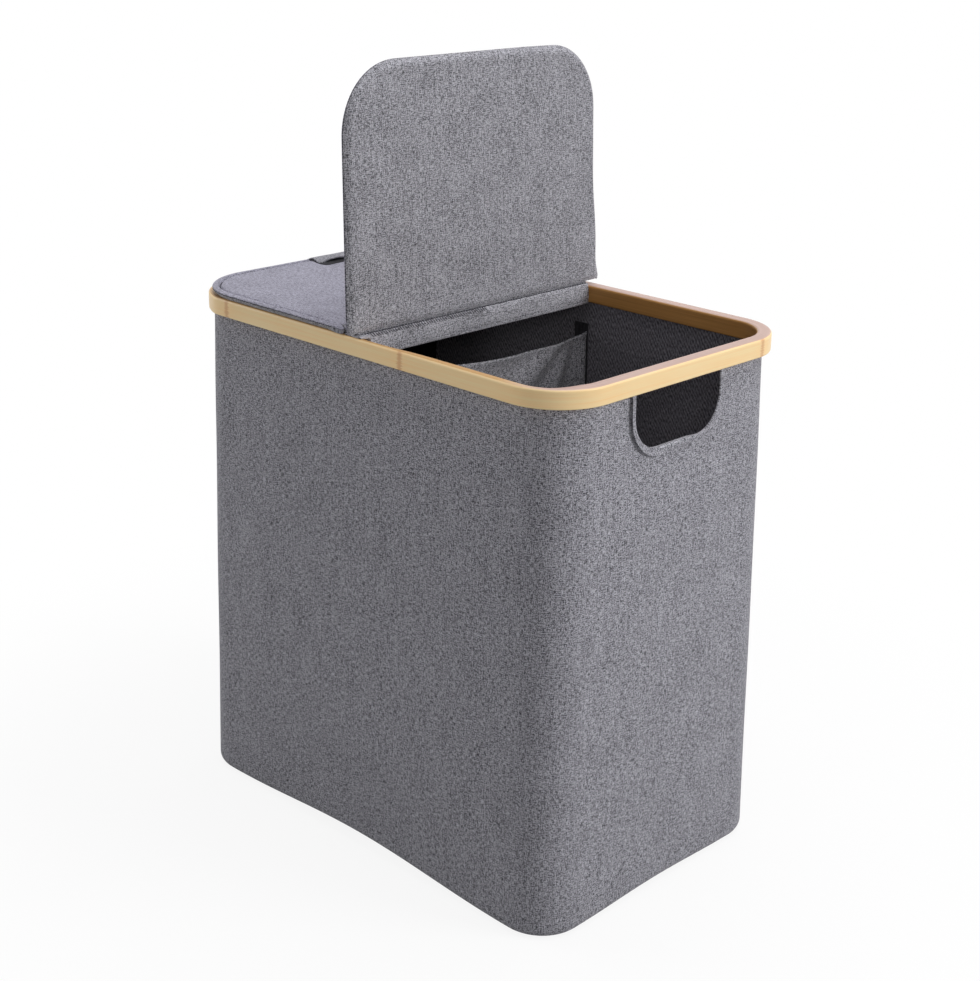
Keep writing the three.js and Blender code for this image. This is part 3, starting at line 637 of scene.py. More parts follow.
bamboo = bamboo_finish("lacquered_bamboo", (255, 233, 184), (255, 206, 140),
                       nodes=(0.13, 0.40, 0.6862, 0.9682, 1.4713, 1.80),
                       zones=[(top_starts, top_ends, -1, front_starts, *sawn_and_painted_reflection),
                              (top_starts, top_ends, front_starts, front_ends, *painted_lid_reflection),
                              (top_starts, top_ends, front_ends, hoop_ends, *sawn_and_painted_reflection),
                              (top_ends, inside_ends, -1, hoop_ends, *darker_inside)])
rim = skin("bamboo_rim", rows, hoop_plan["run"], section_run, bamboo, along=True, sharp=50)
dress(rim, "hamper_body", "bamboo", "rim_hoop")

# %% [markdown]
# ## Hand hole outline
# Both ends have a hand hole, open at the rim and round below. The outline is drawn once, in the
# wall's own plane, and is used for the cutter and for the sewn facing.

# %% Hand hole
hole_half, hole_depth, hole_radius = 0.067, 0.065, 0.039
shell_inset, turn_radius = 0.009, 0.012
lean_of_wall = math.atan(shell_inset / (rim_under - turn_radius - lift_of_end))


def hole_path(margin):
    """Points (y, z, outward y, outward z) down the left side, round the bottom and up the right."""
    half, bottom, radius = hole_half + margin, -hole_depth - margin, hole_radius + margin
    path = [(-half, z, -1, 0) for z in np.linspace(0, bottom + radius, 6)[:-1]]
    for side, start in ((-1, 180), (1, 270)):
        for a in np.radians(np.linspace(start, start + 90, 17)):
            c, s = math.cos(a), math.sin(a)
            path.append((side * (half - radius) + radius * c, bottom + radius + radius * s, c, s))
        if side < 0:
            path += [(y, bottom, 0, -1) for y in np.linspace(-half + radius, half - radius, 9)[1:-1]]
    return np.array(path + [(half, z, 1, 0) for z in np.linspace(bottom + radius, 0, 6)[1:]])


def on_end_wall(out, y, z, side):
    """From the wall's plane, z from the rim's underside, to the hamper. Side 1 is the right end."""
    c, s = math.cos(lean_of_wall), math.sin(lean_of_wall)
    return coords(side * (out * c - z * s + half_length - shell_inset), side * y, out * s + z * c + rim_under)


def far_side(y):
    """The right end's hole is cut wider behind its facing on the side away from the eye."""
    return smooth(y, 0.020, 0.060)


def cut_hand_holes(piece, behind):
    for side in (1, -1):
        y, z = hole_path(0.0027)[:, :2].T
        if side > 0:
            y = y + behind * far_side(y)
        rows = [on_end_wall(depth, y, z, side) for depth in (-0.009, 0.004)]
        cutter = skin("cutter", rows, np.arange(len(y) + 1.0), np.arange(3.0), None, caps=both_ends)
        apply_modifier(piece, "BOOLEAN", operation="DIFFERENCE", solver="EXACT", object=cutter)
        bpy.data.objects.remove(cutter)
    piece.data.set_sharp_from_angle(angle=math.radians(60))


print("hand hole:", 2 * hole_half, "by", hole_depth, "m")

# %% [markdown]
# ## Outer shell
# The shell is the grey cloth bag. It spreads slightly to the base, rounds under and ends in a
# hem. Cloth stretched between a stiff rim and a stiff floor is nearly flat, so it only bellies
# out by 3 or 4 mm between the corner rods, with a slow ripple of under a millimetre, and has the
# pressed groove of the seam that runs round the bottom corners.

# %% Slow ripples
dice = np.random.default_rng(11)


def ripples(columns, height, waves, longest, shortest):
    """A sum of random long waves over the surface, from about -1 to 1, that closes round."""
    run, total_run = columns["run"][None, :-1], columns["run"][-1]
    value = np.zeros(height.shape)
    for _ in range(waves):
        length = longest * (shortest / longest) ** dice.random()
        heading = dice.random() * np.pi
        turns_round = round(total_run * math.cos(heading) / length)
        phase = turns_round * run / total_run + math.sin(heading) * height / length + dice.random()
        value += (length / longest) ** 0.6 * np.cos(2 * np.pi * phase)
    return value / np.abs(value).max()


def near_hole(rows, reached):
    return smooth(np.abs(rows[..., 0]), 0.262, reached) * smooth(rows[..., 2], 0.46, 0.50)


def base_turn(columns, radius, z, degrees):
    """Rings round the bottom edge, about a line that lies one turn radius in and z up."""
    return [ring(columns, turn_radius - radius * math.cos(a), z - radius * math.sin(a), 1)
            for a in np.radians(degrees)]


# %% Shell
hem_top, cloth_inner = 0.5857, 0.0112
ripple, long_belly, end_belly = 0.0009, 0.0042, 0.0026
seam_angle, seam_width = 30.5, 2.6
turn_degrees = [0, 7, 14, 20, 24, 27, 29, 30.5, 32, 34, 37, 42, 48, 56, 64, 72, 81, 90]

wall_rows = np.array(wall(ring(fine, shell_inset, rim_under), ring(fine, 0, turn_radius, 1), 92))
heights = wall_rows[..., 2]
slow = ripples(fine, heights, 26, 0.9, 0.16)
calm = smooth(rim_under - heights, 0.005, 0.13) * smooth(heights, 0.010, 0.15)
calm = calm * (1 - near_hole(wall_rows, 0.278) * smooth(0.115 - np.abs(wall_rows[..., 1]), 0, 0.03))
x, y = np.abs(fine["x"]), np.abs(fine["y"])
from_corner = np.minimum((1 - x) * (half_length - rim_radius) + 9 * (y < 0.999),
                         (1 - y) * (half_width - rim_radius) + 9 * (x < 0.999))
full = smooth(from_corner, 0.0, 0.070) * np.where(y > 0.999, long_belly, end_belly)
wall_rows = wall_rows + fine["out3"] * ((ripple * slow + full) * calm)[..., None]

corner_turn = np.degrees(np.arctan2(*fine["out"].T[::-1]))
side_of_corner = np.abs(((corner_turn + 360) % 90) - 45) / 45
seam_depth = np.where((x > 0.999) & (y > 0.999), 0.0014 * smooth(side_of_corner, 0.15, 0.7), 0.0013) + 0.0005
turn_rows = base_turn(fine, turn_radius, turn_radius, turn_degrees)
for row, degrees in zip(turn_rows, turn_degrees):
    a = math.radians(degrees)
    press = seam_depth * math.exp(-((degrees - seam_angle) / seam_width) ** 2)
    row -= (fine["out3"] * math.cos(a) - [0, 0, math.sin(a)]) * press[:, None]
hem = tenths([(180, 0), (240, 0), (290, 0), (300, 6), (300, 18), (290, 22), (200, 22)])
shell_rows = [ring(fine, shell_inset, hem_top), *wall_rows, *turn_rows[1:]]
shell_rows += [ring(fine, inset, z, 1) for inset, z in hem] + base_turn(fine, 0.0098, turn_radius, (90, 60, 30, 0))
shell_rows += wall(ring(fine, 0.0022, turn_radius, 1), ring(fine, cloth_inner, rim_under), 12)[1:]
shell_rows += [ring(fine, cloth_inner, hem_top)]
shell = skin("outer_shell_cloth", shell_rows, fine["run"], rise_of(shell_rows, True), body_cloth, along=True)
cut_hand_holes(shell, 0.0030)
dress(shell, "hamper_body", "grey_fabric", "outer_shell")

# %% [markdown]
# ## Lining, bottom cloth and base boards
# Inside hangs a thin dark bag. Its floor droops to the corners, and a flat cloth closes the
# bottom under it. Two loose boards, wrapped in the same dark cloth, lie on the floor of the bins.

# %% Lining
lining_base, lining_ripple, floor_reach = 0.0138, 0.0011, 0.080


def floor_rings(z):
    return [ring(medium, turn_radius + across, z, 1, float(smooth(across, 0.016, floor_reach)))
            for across in np.linspace(0, floor_reach, 9)]


def bag_wall(top_inset, base_inset, steps):
    return np.array(wall(ring(medium, top_inset, rim_under), ring(medium, base_inset, lining_base, 1), steps))


turns = (15, 30, 45, 60, 75, 90)
inner_wall = bag_wall(0.013, 0.004, 56)
heights = inner_wall[..., 2]
slow = ripples(medium, heights, 30, 0.5, 0.10)
calm = smooth(rim_under - heights, 0.0, 0.05) * smooth(heights, 0.02, 0.06) * (1 - near_hole(inner_wall, 0.274))
inner_wall = inner_wall - medium["out3"] * (lining_ripple * (0.6 + 0.4 * slow) * calm)[..., None]
inside = [ring(medium, 0.013, hem_top), *inner_wall, *base_turn(medium, 0.0080, lining_base, turns)]
outside = [ring(medium, 0.0115, hem_top), *bag_wall(0.0115, 0.0025, 14), *base_turn(medium, 0.0095, lining_base, turns)]
rows = (outside + floor_rings(0.0043)[1:])[::-1] + inside + floor_rings(0.0058)[1:]
lining = skin("lining_bag", rows, medium["run"], rise_of(rows), lining_cloth, caps=both_ends)
cut_hand_holes(lining, 0.0072)
dress(lining, "hamper_body", "dark_lining", "lining")

rows = floor_rings(0.0025)[::-1] + floor_rings(0.0040)
bottom = skin("bottom_cloth", rows, medium["run"], rise_of(rows), lining_cloth, caps=both_ends)
dress(bottom, "hamper_body", "dark_lining", "bottom_panel")

# %% Base boards
def rounded_sheet(low, high, corners, inset):
    """A rounded rectangle as points anticlockwise. Each corner is (x sign, y sign, radius, steps)."""
    arcs, points = [], []
    for k, (sx, sy, radius, steps) in enumerate(corners):
        kept = min(inset, radius - 0.0008)
        centre = [(high if s > 0 else low)[axis] - s * (radius + inset - kept) for axis, s in enumerate((sx, sy))]
        angles = np.radians(-90 + 90 * k + np.linspace(0, 90, steps + 1))
        arcs.append(centre + (radius - kept) * coords(np.cos(angles), np.sin(angles)))
    for k, bend in enumerate(arcs):
        shares = np.linspace(0, 1, 29 if k % 2 else 37)[1:-1, None]
        points += [bend, bend[-1] * (1 - shares) + arcs[(k + 1) % 4][0] * shares]
    return np.concatenate(points)


board_low, board_high = (0.004, -0.1737), (0.2777, 0.1737)
board_corners = [(1, -1, 0.066, 14), (1, 1, 0.066, 14), (-1, 1, 0.004, 4), (-1, -1, 0.004, 4)]
section = tenths([(500, 171), (12, 171), (4, 174), (0, 181), (0, 201), (4, 208), (12, 211), (40, 213), (500, 213)])
for side, name in side_name.items():
    rows = [rounded_sheet(board_low, board_high, board_corners, inset) * [side, 1] for inset, z in section]
    rows = np.array([coords(*flat.T, z) for flat, (_, z) in zip(rows, section)])
    made = skin(f"base_board_cloth_{name}", rows, None, None, lining_cloth, uv=rows[..., :2], caps=both_ends)
    dress(made, "hamper_body", "dark_lining", f"base_board_{name}")

# %% [markdown]
# ## Facings of the hand holes
# A strip of the grey cloth is sewn round each hand hole and folded through it. Its section runs
# from the inside of the wall, round the edge of the hole and out to a turned edge. On the front
# lower side of the right one the turned edge stands off the wall, so a dark gap shows under it.

# %% Facings
section = tenths([
    (62, -52), (64, -47), (60, -42), (14, -41), (12, -20), (12, 2), (30, 4), (60, 3), (90, 3), (98, 5), (101, 9),
    (98, 13), (88, 15), (66, 15), (40, 17), (22, 19), (10, 18), (2, 13), (-2, 4), (-2, -30), (2, -46), (14, -53),
    (40, -54)])
widths = section[:, 0] + np.concatenate([[0], np.cumsum(np.abs(np.diff(section[:, 1])))])
y, z, out_y, out_z = hole_path(0).T
run = distances(coords(y, z))
share = run / run[-1]
for side, name in side_name.items():
    loose = smooth(share, 0.0, 0.02) * (1 - smooth(share, 0.36, 0.43)) * (1 if side > 0 else 0.35)
    rows = []
    for away, out in section:
        reach = away if away < 0.004 or out < 0 else 0.004 + (away - 0.004) * 0.62
        reach = reach + 1.45 * max(0.0004 - out, 0) * far_side(y) * (side > 0)
        lift = 0.0026 * smooth(away, 0.0045, 0.0095) * loose
        rows.append(on_end_wall(out + lift, y + out_y * reach, z + out_z * reach, side))
    made = skin(f"facing_cloth_{name}", rows, run, np.append(widths, 0.03), body_cloth, around=False, along=True,
                sharp=80)
    dress(made, "hamper_body", "grey_fabric", f"handle_facing_{name}")

# %% [markdown]
# ## Stitches
# A stitch is a short length of thread that dives into the cloth at both ends. Each is a small
# lozenge of six sides, bent down at its ends, laid along a path with a normal.

# %% Stitch tool
def unit(vectors):
    return vectors / np.linalg.norm(vectors, axis=1, keepdims=True)


def stitches(name, paths, material, length, pitch, radius, lean=0.0):
    corners, faces, uv = [], [], []
    for points, normals in paths:
        far = distances(points)
        stops = np.arange(pitch / 2, far[-1], pitch)

        def at(values, ahead=0.0):
            return coords(*[np.interp(stops + ahead, far, column) for column in values.T])

        headings = unit(at(points, pitch * 0.3) - at(points, -pitch * 0.3))
        ups = at(normals)
        ups = unit(ups - headings * (ups * headings).sum(1, keepdims=True))
        for centre, heading, up in zip(at(points), headings, ups):
            heading = heading * math.cos(lean) + np.cross(up, heading) * math.sin(lean)
            beside = np.cross(up, heading)
            start = len(corners)
            for k, (share, width) in enumerate(((-1, 0.35), (-0.72, 0.9), (0, 1.0), (0.72, 0.9), (1, 0.35))):
                spot = centre + heading * share * length / 2 + up * radius * (0.5 - 1.1 * share * share)
                for m in range(6):
                    a = m * math.pi / 3
                    corners.append(spot + radius * width * (up * math.sin(a) + beside * math.cos(a)))
                    if k:
                        here, before = start + k * 6, start + (k - 1) * 6
                        faces.append((before + m, before + (m + 1) % 6, here + (m + 1) % 6, here + m))
                        uv += [(share * length, m * 0.0004)] * 4
    return place_mesh(name, corners, faces, uv, material, sharp=180)


# %% [markdown]
# ## Corner rods' pockets and the divider's tapes
# Each rod stands in a narrow black pocket sewn into a corner of the lining. The pocket is flat at
# its edges and bulges round the rod. The tapes are black webbing that holds the divider's sides.

# %% Pockets and tapes
heights, angles = np.linspace(0.0178, 0.5757, 48), np.linspace(-1, 1, 29)
bulge = 1 - np.sin(np.abs(angles) * np.pi / 2) ** 4
turned = np.radians(45) + 0.44 * np.concatenate([angles, angles[::-1]])
corner_places = {"front_left": (-1, -1), "front_right": (1, -1), "back_left": (-1, 1), "back_right": (1, 1)}
for place, (sx, sy) in corner_places.items():
    rows = []
    for z in heights:
        share = (rim_under - z) / (rim_under - lining_base)
        radius = rim_radius + (base_radius - rim_radius) * share
        wall_reach = radius - (0.013 - 0.009 * share) - 0.0006
        clear_reach = 0.0472 - 0.012 * share - 0.0048
        reach = wall_reach + (clear_reach - wall_reach) * bulge + 0.0006 * np.sin(z * 31 + angles * 2.0) * bulge
        reach = np.concatenate([reach, reach[::-1] - 0.001])
        rows.append(coords(sx * (half_length - radius + reach * np.cos(turned)),
                           sy * (half_width - radius + reach * np.sin(turned)), z))
    width = np.linspace(0, 0.08, len(turned) + 1)
    made = skin(f"rod_pocket_cloth_{place}", rows, width, heights, webbing, caps=both_ends)
    dress(made, "hamper_body", "black_fabric", f"rod_pocket_{place}")


def lining_inset(z):
    return 0.013 - 0.009 * np.clip((rim_under - z) / (rim_under - lining_base - lift_of_long_side), 0, 1)


section = tenths([(-100, 3), (-99, -7), (-90, -10), (90, -10), (99, -7), (100, 3), (90, 3), (-90, 3)])
heights = np.linspace(0.0291, 0.5537, 30)
for side, name in end_name.items():
    rows = [coords(section[:, 0], side * (half_width - lining_inset(z) - 0.0016 + section[:, 1]), z) for z in heights]
    made = skin(f"divider_tape_cloth_{name}", rows, np.linspace(0, 0.045, 9), heights, webbing, caps=both_ends,
                sharp=40)
    dress(made, "hamper_body", "black_fabric", f"divider_tape_{name}")

# %% [markdown]
# ## Divider
# The divider is one panel of the grey cloth. It is held along both sides and stands on the
# lining, but its top edge hangs free and sags between the walls, so folds fan out from the high
# back end. It is drawn as a single sheet, pushed sideways by those folds, with a thin hem rolled
# along its top, and then thickened.

# %% Divider
sleeve_bottom, deepest_sag = 0.5777, 0.043
sag_at = [-1, -0.9, -0.75, -0.55, -0.3, 0, 0.3, 0.6, 0.8, 0.92, 0.98, 1]
sag = [0.28, 0.40, 0.52, 0.65, 0.79, 0.915, 0.985, 1.0, 0.975, 0.92, 0.84, 0.73]
across = np.linspace(-1, 1, 91)
drop = np.pad(np.interp(across, sag_at, sag), 3, mode="edge")
top_z = sleeve_bottom - deepest_sag * np.convolve(drop, np.array([1, 2, 3, 4, 3, 2, 1]) / 16, mode="valid")
rows = []
for level in 1 - (1 - np.linspace(0, 1, 72)) ** 1.25:
    bottom_z = 0.0171 + 0.0118 * smooth(np.abs(across), 0.93, 1.0)
    z = bottom_z * (1 - level) + top_z * level
    y = across * (half_width - lining_inset(z) - 0.0021)
    from_notch = np.hypot(y - 0.165, z - 0.556) + 1e-6
    angle = np.arctan2(0.556 - z, 0.165 - y)
    fan = np.sin(angle * 13 + 0.6) * smooth(from_notch, 0.01, 0.12) * np.exp(-(from_notch / 0.17) ** 2)
    swell = np.sin(z * 15 + 0.8) * np.cos(y * 9 - 0.4)
    held = (1 - smooth(np.abs(across), 0.80, 1.0)) * smooth(z, 0.03, 0.12)
    x = (0.0046 * fan + 0.0028 * swell) * held + 0.0074 * smooth(across, 0.90, 0.995) * smooth(z, 0.05, 0.12)
    hem = np.exp(-((top_z - z - 0.0015) / 0.0035) ** 2) * 0.0012
    rows.append(coords(x + hem, y, z))
divider = skin("divider_cloth", rows, None, None, divider_cloth, around=False, uv=np.array(rows)[..., 1:])
apply_modifier(divider, "SOLIDIFY", thickness=0.0018, offset=0.0)
dress(divider, "hamper_body", "grey_fabric", "divider_panel")

# %% [markdown]
# ## Crossbar sleeve and hinge strip
# A bamboo slat joins the two long sides of the rim, wrapped in a sleeve of lid cloth. The sleeve
# puffs a little on its sides, has a seam near its lower edge and laps over the front of the rim
# with a thin end. A strip of cloth lies on its top, and both lids hang on it.

# %% Sleeve
half, low, high = 0.0110, sleeve_bottom, 0.6027
mouth = -0.170  # where the sleeve meets the rim's front
flat_z = np.linspace(low + 0.0035, high - 0.0035, 9)
section = []
for cx, cz, start, radius in ((half, low, -90, 0.0022), (half, high, 0, 0.0026),
                              (-half, high, 90, 0.0026), (-half, low, 180, 0.0022)):
    for a in np.radians(start + np.linspace(0, 90, 6)):
        section.append((cx - math.copysign(radius, cx) + radius * math.cos(a),
                        cz + (radius if cz == low else -radius) + radius * math.sin(a)))
    if abs(start) == 90:
        section += [(cx, z) for z in (flat_z if start < 0 else flat_z[::-1])]
section = np.array(section)
stations = np.array([-0.1846, -0.1842, -0.1825, -0.180, -0.176, -0.172, -0.1704, *np.linspace(-0.1694, 0.1694, 86)])
side = smooth(section[:, 1], low + 0.001, low + 0.006) * (1 - smooth(section[:, 1], high - 0.006, high - 0.001))
rows = []
for y in stations:
    x, z = section.T
    x = x - np.sign(x) * 0.0010 * smooth(z, 0.588, 0.601)
    if y < mouth:
        share = (mouth - y) / 0.016
        floor_z = 0.6003 - 0.0046 * (1 - share) * 0.85
        roof_z = high - 0.0012 * smooth(share, 0.75, 0.92)
        z = floor_z + (z - low) * (roof_z - floor_z) / (high - low)
    puff = 0.0009 + 0.0005 * math.sin(y * 61 + 0.7) + 0.0003 * math.sin(y * 137 + 2.0)
    seam = np.exp(-((section[:, 1] - (low + 0.005)) / 0.0010) ** 2) * 0.0010 * (y > mouth)
    rows.append(coords(x + np.sign(x) * (side * puff - seam * (np.abs(x) > 0.009)), y, z))
sleeve = skin("crossbar_sleeve_cloth", rows, distances(section, True), stations, lid_cloth, caps=both_ends, sharp=50)
dress(sleeve, "hamper_body", "lid_fabric", "crossbar_sleeve")


def strip_section(name, numbers):
    """A band of cloth along the crossbar. Its section is in tenths of a millimetre, from the rim's top."""
    section = tenths(numbers) + [0, rim_top]
    stations = np.arange(-0.1830, 0.1691, 0.004)
    rows = [coords(section[:, 0], y, section[:, 1]) for y in stations]
    return skin(name, rows, distances(section, True), stations, lid_cloth, caps=both_ends)


strip = strip_section("hinge_strip_cloth", [
    (-64, 31), (-64, 40), (-56, 43), (0, 44), (56, 43), (64, 40), (64, 31), (0, 30)])
dress(strip, "hamper_body", "lid_fabric", "hinge_strip")

# %% [markdown]
# ## Lids
# A lid is a stiff board in a cloth cover. The cloth of the underside wraps round the edge and meets
# the top cloth there in a dark seam. The top is stitched through 9 mm inside it, in a pressed groove.
# The top cloth is a lighter, bluer and calmer copy of the lid cloth: painted light on the top faces,
# against which the edge band in the plain lid cloth shows as painted shade.
# The section is a list of insets and heights, swept round the lid's outline. It is drawn for a
# closed lid, from the hinge edge outward, and then turned into place.

# %% Lid sections
lid_low, lid_high = (0.005, -0.1905), (0.273, 0.1890)
near_radius = {1: 0.073, -1: 0.080}
hinge_x, open_angle = 0.009, math.radians(92.4)
face_height = 0.0085
cover_section = tenths([
    (1250, 85), (1000, 85), (750, 85), (500, 85), (320, 85), (200, 85), (130, 85), (114, 84), (106, 78), (99, 64),
    (92, 57), (83, 57), (76, 66), (69, 84), (59, 88), (42, 88), (24, 86), (11, 82), (3, 76), (1, 70), (4, 66),
    (12, 65)])
under_section = tenths([
    (12, 62), (5, 61), (2, 57), (5, 52), (10, 46), (17, 38), (26, 29), (36, 20), (46, 12), (58, 6), (72, 2), (88, 1),
    (110, 1), (140, 1), (200, 1), (300, 1), (440, 1), (640, 1), (860, 1), (1080, 1), (1250, 1)])
board_section = tenths([(1250, 25), (70, 25), (66, 29), (66, 48), (70, 52), (1250, 52)])


def place_lid(points, side):
    """From a lid's own (u, w, v) to the hamper: side 1 is the open right lid, -1 the closed left one.
    Width w runs towards the back on both."""
    u, w, v = np.moveaxis(np.asarray(points, float), -1, 0)
    if side < 0:
        return coords(-hinge_x - u, w, rim_top + v)
    c, s = math.cos(open_angle), math.sin(open_angle)
    return coords(hinge_x + c * u - s * v, w, rim_top + s * u + c * v)


def lid_outline(inset, side):
    corners = [(1, -1, near_radius[side], 18), (1, 1, 0.070, 18), (-1, 1, 0.007, 6), (-1, -1, 0.007, 6)]
    return rounded_sheet(lid_low, lid_high, corners, inset)


def relax(u, w, side):
    """The open lid has not kept a perfect outline: it is a few millimetres wider at the hinge on its
    near side, and narrower at its free end on the far side."""
    if side < 0:
        return u, w
    near = -0.0044 * np.clip(1 - u / 0.2, 0, 1) * smooth(-w, 0.10, 0.185)
    far = -(0.0052 - 0.0012 * smooth(u, 0.20, 0.26)) * smooth(u, 0.05, 0.13) * smooth(w, 0.10, 0.185)
    return u + 0.0014 * smooth(u, 0.20, 0.27) * (1 - smooth(w, 0.06, 0.16)), w + near + far


def lid_rows(section, side):
    """Sweeps (inset, height) round the outline. Beside the hinge the groove fades out, the edge is
    square and lower, and the corners reach down past the crossbar."""
    rows = []
    for inset, v in section:
        u, w = lid_outline(inset, side).T
        beside_hinge = smooth(u, 0.016, 0.032) if 0.0045 < inset < 0.013 else 1.0
        height = v * beside_hinge + (face_height if v > 0.003 else 0.0001) * (1 - beside_hinge) + 0 * u
        if inset < 0.0053 and v < 0.006:
            height = height * (0.25 + 0.75 * smooth(u, 0.010, 0.028))
        if v > 0.006:
            height = height - 0.0014 * (1 - smooth(u, 0.005, 0.018))
        bar_end = np.where((side > 0) | (w < 0), 0.1842, 0.1695)
        past_bar = smooth(np.abs(w) - bar_end, 0.0003, 0.0034) * (1 - smooth(u, 0.006, 0.020))
        u, w = relax(u, w, side)
        rows.append(coords(u - 0.0032 * past_bar, w, height))
    return np.array(rows)


def unrolled(rows, section):
    """Lays a swept cloth flat from its middle, listed first, so that the weave keeps its scale."""
    extra = distances(section) - (section[0][0] - section[:, 0])
    outward = np.roll(rows[4], -1, axis=0) - np.roll(rows[4], 1, axis=0)
    outward = unit(coords(outward[:, 1], -outward[:, 0]))
    return (rows[..., :2] + outward[None] * extra[:, None, None])[..., ::-1]


for side, name in side_name.items():
    rows = lid_rows(cover_section, side)
    # The top cover takes the lighter copy of the lid cloth, as painted light.
    cover = skin(f"lid_cover_cloth_{name}", place_lid(rows, side), None, None, lid_top_lit_cloth,
                 uv=unrolled(rows, cover_section), caps=(0,))
    dress(cover, f"{name}_lid", "lid_fabric", f"lid_cover_{name}")
    rows = lid_rows(under_section, side)
    under = skin(f"lid_under_cloth_{name}", place_lid(rows, side), None, None, lid_cloth,
                 uv=unrolled(rows[::-1], under_section[::-1])[::-1], caps=(-1,))
    dress(under, f"{name}_lid", "lid_fabric", f"lid_lining_{name}")

# %% Lid boards and stitches
def lid_path(inset, v, side):
    """An open path round three sides of a lid, with normals that point up from its top."""
    flat = lid_outline(inset, side)
    start = int(np.argmin(np.hypot(flat[:, 0] - 0.012, flat[:, 1] - lid_low[1] - inset)))
    flat = np.roll(flat, -start, axis=0)
    flat = flat[flat[:, 0] > lid_low[0] + max(inset, 0.006) + 0.003]
    points = coords(*relax(*flat.T, side), v)
    foot = place_lid(points, side)
    return foot, (place_lid(points + [0, 0, 0.001], side) - foot) * 1000


lid_cores = []
for side, name in side_name.items():
    rows = np.array([coords(*relax(*lid_outline(inset, side).T, side), v) for inset, v in board_section])
    core = skin(f"lid_core_{name}", place_lid(rows, side), None, None, None, uv=rows[..., [1, 0]], caps=both_ends)
    dress(core, f"{name}_lid", "board", f"lid_board_{name}")
    lid_cores.append(core)
for side, name in side_name.items():
    paths = [lid_path(0.0088, 0.0060, side), lid_path(0.0005, 0.00635, side)]
    seams = stitches(f"lid_stitches_{name}", paths, dark_thread, 0.0030, 0.0034, 0.00050)
    dress(seams, f"{name}_lid", "lid_fabric")

# %% [markdown]
# ## Stitches along the crossbar
# Where the right hinge cloth meets the sleeve, a dark whipped seam runs along the front half of
# the bar: short slanting stitches, side by side. Above it, along the ledge under the lid's edge, a
# close row of dark stitches is painted shade: it stands for the shadow in the fold there. A plain
# row holds the sleeve's lower seam.

# %% Crossbar stitches
for name, x, z, normal, ends, finish, *size in (
        ("whip", 0.0103, 0.6013, (0.9, 0, 0.44), (-0.176, 0), whip_thread, 0.0068, 0.0034, 0.00034, math.radians(-58)),
        # Painted shade: this close dark row darkens the lit ledge where the fold under the lid lies in shadow.
        ("crease", 0.0082, 0.6027, (0, 0, 1.0), (-0.181, 0.169), dark_thread, 0.0038, 0.0041, 0.00055),
        ("hem", 0.0112, 0.5827, (1.0, 0, 0), (-0.166, 0.166), thread, 0.0026, 0.0042, 0.00040)):
    path = coords(x, np.array(ends), z), np.array([normal, normal])
    dress(stitches(f"crossbar_{name}_stitches", [path], finish, *size), "hamper_body", "lid_fabric")

# %% [markdown]
# ## Hinge cloths
# On each side a narrow cloth leaves the strip, lies flat under the lid's end and turns up the
# outer face. Each is one fixed piece, shaped for the lids as they stand here.

# %% Hinge cloths
right_hinge = strip_section("hinge_cloth_right", [
    (40, 31), (56, 32), (66, 35), (69, 40), (64, 45), (50, 46), (30, 46), (10, 47), (-4, 52), (-6, 70), (-12, 70),
    (-14, 50), (-4, 42), (20, 40), (40, 40), (55, 40), (60, 38), (52, 36), (40, 35)])
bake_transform(right_hinge)
left_hinge = strip_section("hinge_cloth_left", [
    (-60, 31), (-90, 32), (-108, 34), (-125, 50), (-142, 74), (-165, 88), (-190, 91), (-190, 85), (-168, 81),
    (-150, 66), (-134, 42), (-116, 26), (-100, 26), (-60, 26)])
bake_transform(left_hinge)

# %% [markdown]
# ## Pull tabs
# A flap of lid cloth is sewn round the free end of each lid and folded back over it. Its upper
# ply arches up, dips at the front corner and lifts again, so its mouth stands open. Under the
# mouth a thin black sheet lies flat on the lid: painted shade, a dark sheet for the shadow under
# the flap. The flap is a small grid of heights, given a thickness.

# %% Pull tabs
tab_thickness, shade_ply_thickness = 0.0013, 0.0006
# Outline of the black sheet under the flap: painted shade, a dark sheet where the flap's shadow lies.
shade_ply_edge = -tenths([
    (2720, 100), (2650, 125), (2580, 150), (2520, 162), (2445, 162), (2410, 140), (2393, 95), (2400, 40), (2407, 0),
    (2412, -100), (2425, -190), (2420, -300), (2415, -440), (2420, -485), (2720, -485)])


def tab_height(u, y):
    rise = 0.0036 * smooth(0.2722 - u, 0.0, 0.012)
    dip = -0.0022 * np.exp(-((u - 0.243) / 0.008) ** 2 - ((y + 0.0115) / 0.007) ** 2)
    arch = 0.0014 * smooth(y, -0.010, 0.012) * smooth(0.264 - u, 0, 0.020)
    ripple = 0.0003 * np.sin(y * 190 + 1.0) * smooth(0.268 - u, 0, 0.015)
    return 0.0088 + rise + dip + arch + ripple


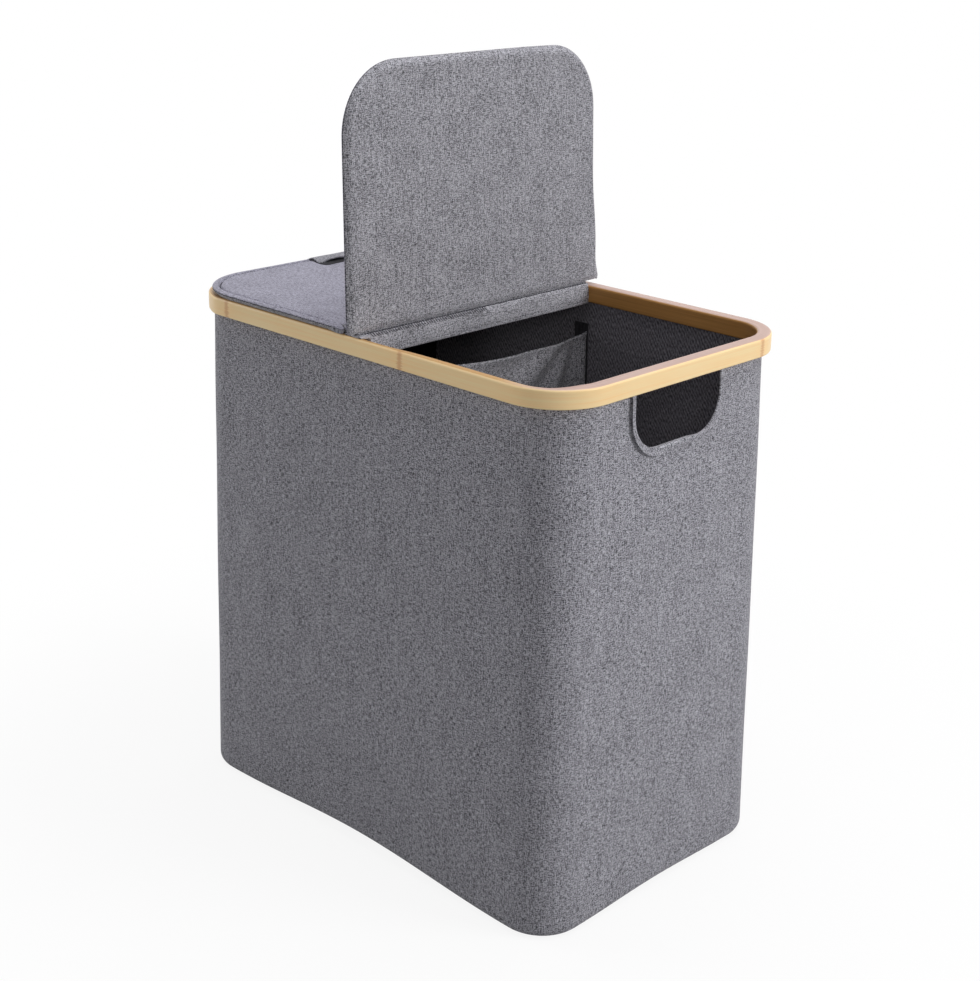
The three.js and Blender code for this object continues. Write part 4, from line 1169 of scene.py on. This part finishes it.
shares = np.linspace(0, 1, 22)
top, under = [], []
for y in np.linspace(-0.0155, 0.0485, 30):
    start = 0.2730 - 0.0006 * smooth(-y, 0.0, 0.015)
    lip = 0.2425 - 0.0012 * math.sin((y - 0.005) * 95 + 0.6)
    near = y + 0.0050 * smooth(-y, 0.007, 0.0155) * (1 - shares)
    u = start + (lip - start) * shares
    v = tab_height(u, near)
    v[0], u[0] = 0.0068, 0.2738
    v = v - 0.0006 * smooth(shares, 0.9, 1.0)
    top.append(coords(u, near, v))
    under.append(coords(u + np.where(shares < 0.04, -0.0012, 0.0), near, v - tab_thickness))
loop = np.concatenate([top, np.array(under)[:, ::-1]], axis=1)
steps_across = np.array([*range(22), *range(21, -1, -1), 0]) * 0.0022
low = coords(-hinge_x - shade_ply_edge[:, 0], shade_ply_edge[:, 1], face_height)
for side, name in side_name.items():
    cloth = skin(f"pull_tab_cloth_{name}", place_lid(loop, side), steps_across, np.arange(30) * 0.0025, lid_cloth,
                 caps=both_ends)
    dress(cloth, f"{name}_lid", "lid_fabric", f"pull_tab_{name}")
    # The black sheet under the mouth is painted shade for the shadow under the flap.
    rows = [place_lid(low, side), place_lid(low + [0, 0, shade_ply_thickness], side)]
    ply = skin(f"pull_tab_shade_ply_{name}", rows, np.linspace(0, 0.2, len(low) + 1), np.array([0, shade_ply_thickness]), webbing,
               caps=both_ends)
    dress(ply, f"{name}_lid", "black_fabric")

# %% [markdown]
# ## Hidden parts
# Rods, end caps and slat keep their CAD shapes, and the lids got slightly smaller boards. They
# have no UV map, so their finishes use object coordinates, which move with the piece.

# %% Steel, plastic, slat and board
def plain_finish(name, pale, dark, scale, stretch, roughness, metallic=0.0, bump=0.1):
    material, tree, shader = new_material(name)
    where = add(tree, "TexCoord").outputs["Object"]
    sized = add(tree, "Mapping", {"Vector": where, "Scale": stretch})
    noise = add(tree, "TexNoise", {"Vector": sized.outputs[0], "Scale": scale, "Detail": 3.0}).outputs["Fac"]
    fill(shader, {"Base Color": mix(noise, dark, pale), "Metallic": metallic, "Normal": relief(noise, bump, 0.0003),
                  "Roughness": maths("MULTIPLY_ADD", noise, 0.15, roughness - 0.07)})
    return material


steel = plain_finish("drawn_steel", (0.62, 0.63, 0.65, 1), (0.42, 0.43, 0.45, 1), 900, (1, 1, 0.02), 0.32, metallic=1.0)
plastic = plain_finish("moulded_black_plastic", (0.03, 0.03, 0.034, 1), (0.014, 0.014, 0.016, 1), 1400, (1, 1, 1), 0.5)
board = plain_finish("fibre_board", linear(178, 152, 116), linear(128, 104, 74), 700, (1, 1, 1), 0.85, bump=0.3)
slat_bamboo = bamboo_finish("bare_bamboo", (214, 178, 124), (160, 118, 70), surface_kind="Object", coat=0.0)

for core in lid_cores:
    core.data.materials.append(board)
finishes = {"crossbar_slat": slat_bamboo}
for kind, finish in (("rod", steel), ("rod_foot", plastic), ("rod_cap", plastic)):
    finishes.update({f"{kind}_{place}": finish for place in corner_places})
for node, finish in finishes.items():
    mesh = frame["nodes"][node].data
    mesh.materials.clear()
    mesh.materials.append(finish)
print("hidden parts finished:", len(finishes))

# %% Sizes and finish
low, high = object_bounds()
print("visual box:", [round(v, 4) for v in low], [round(v, 4) for v in high])
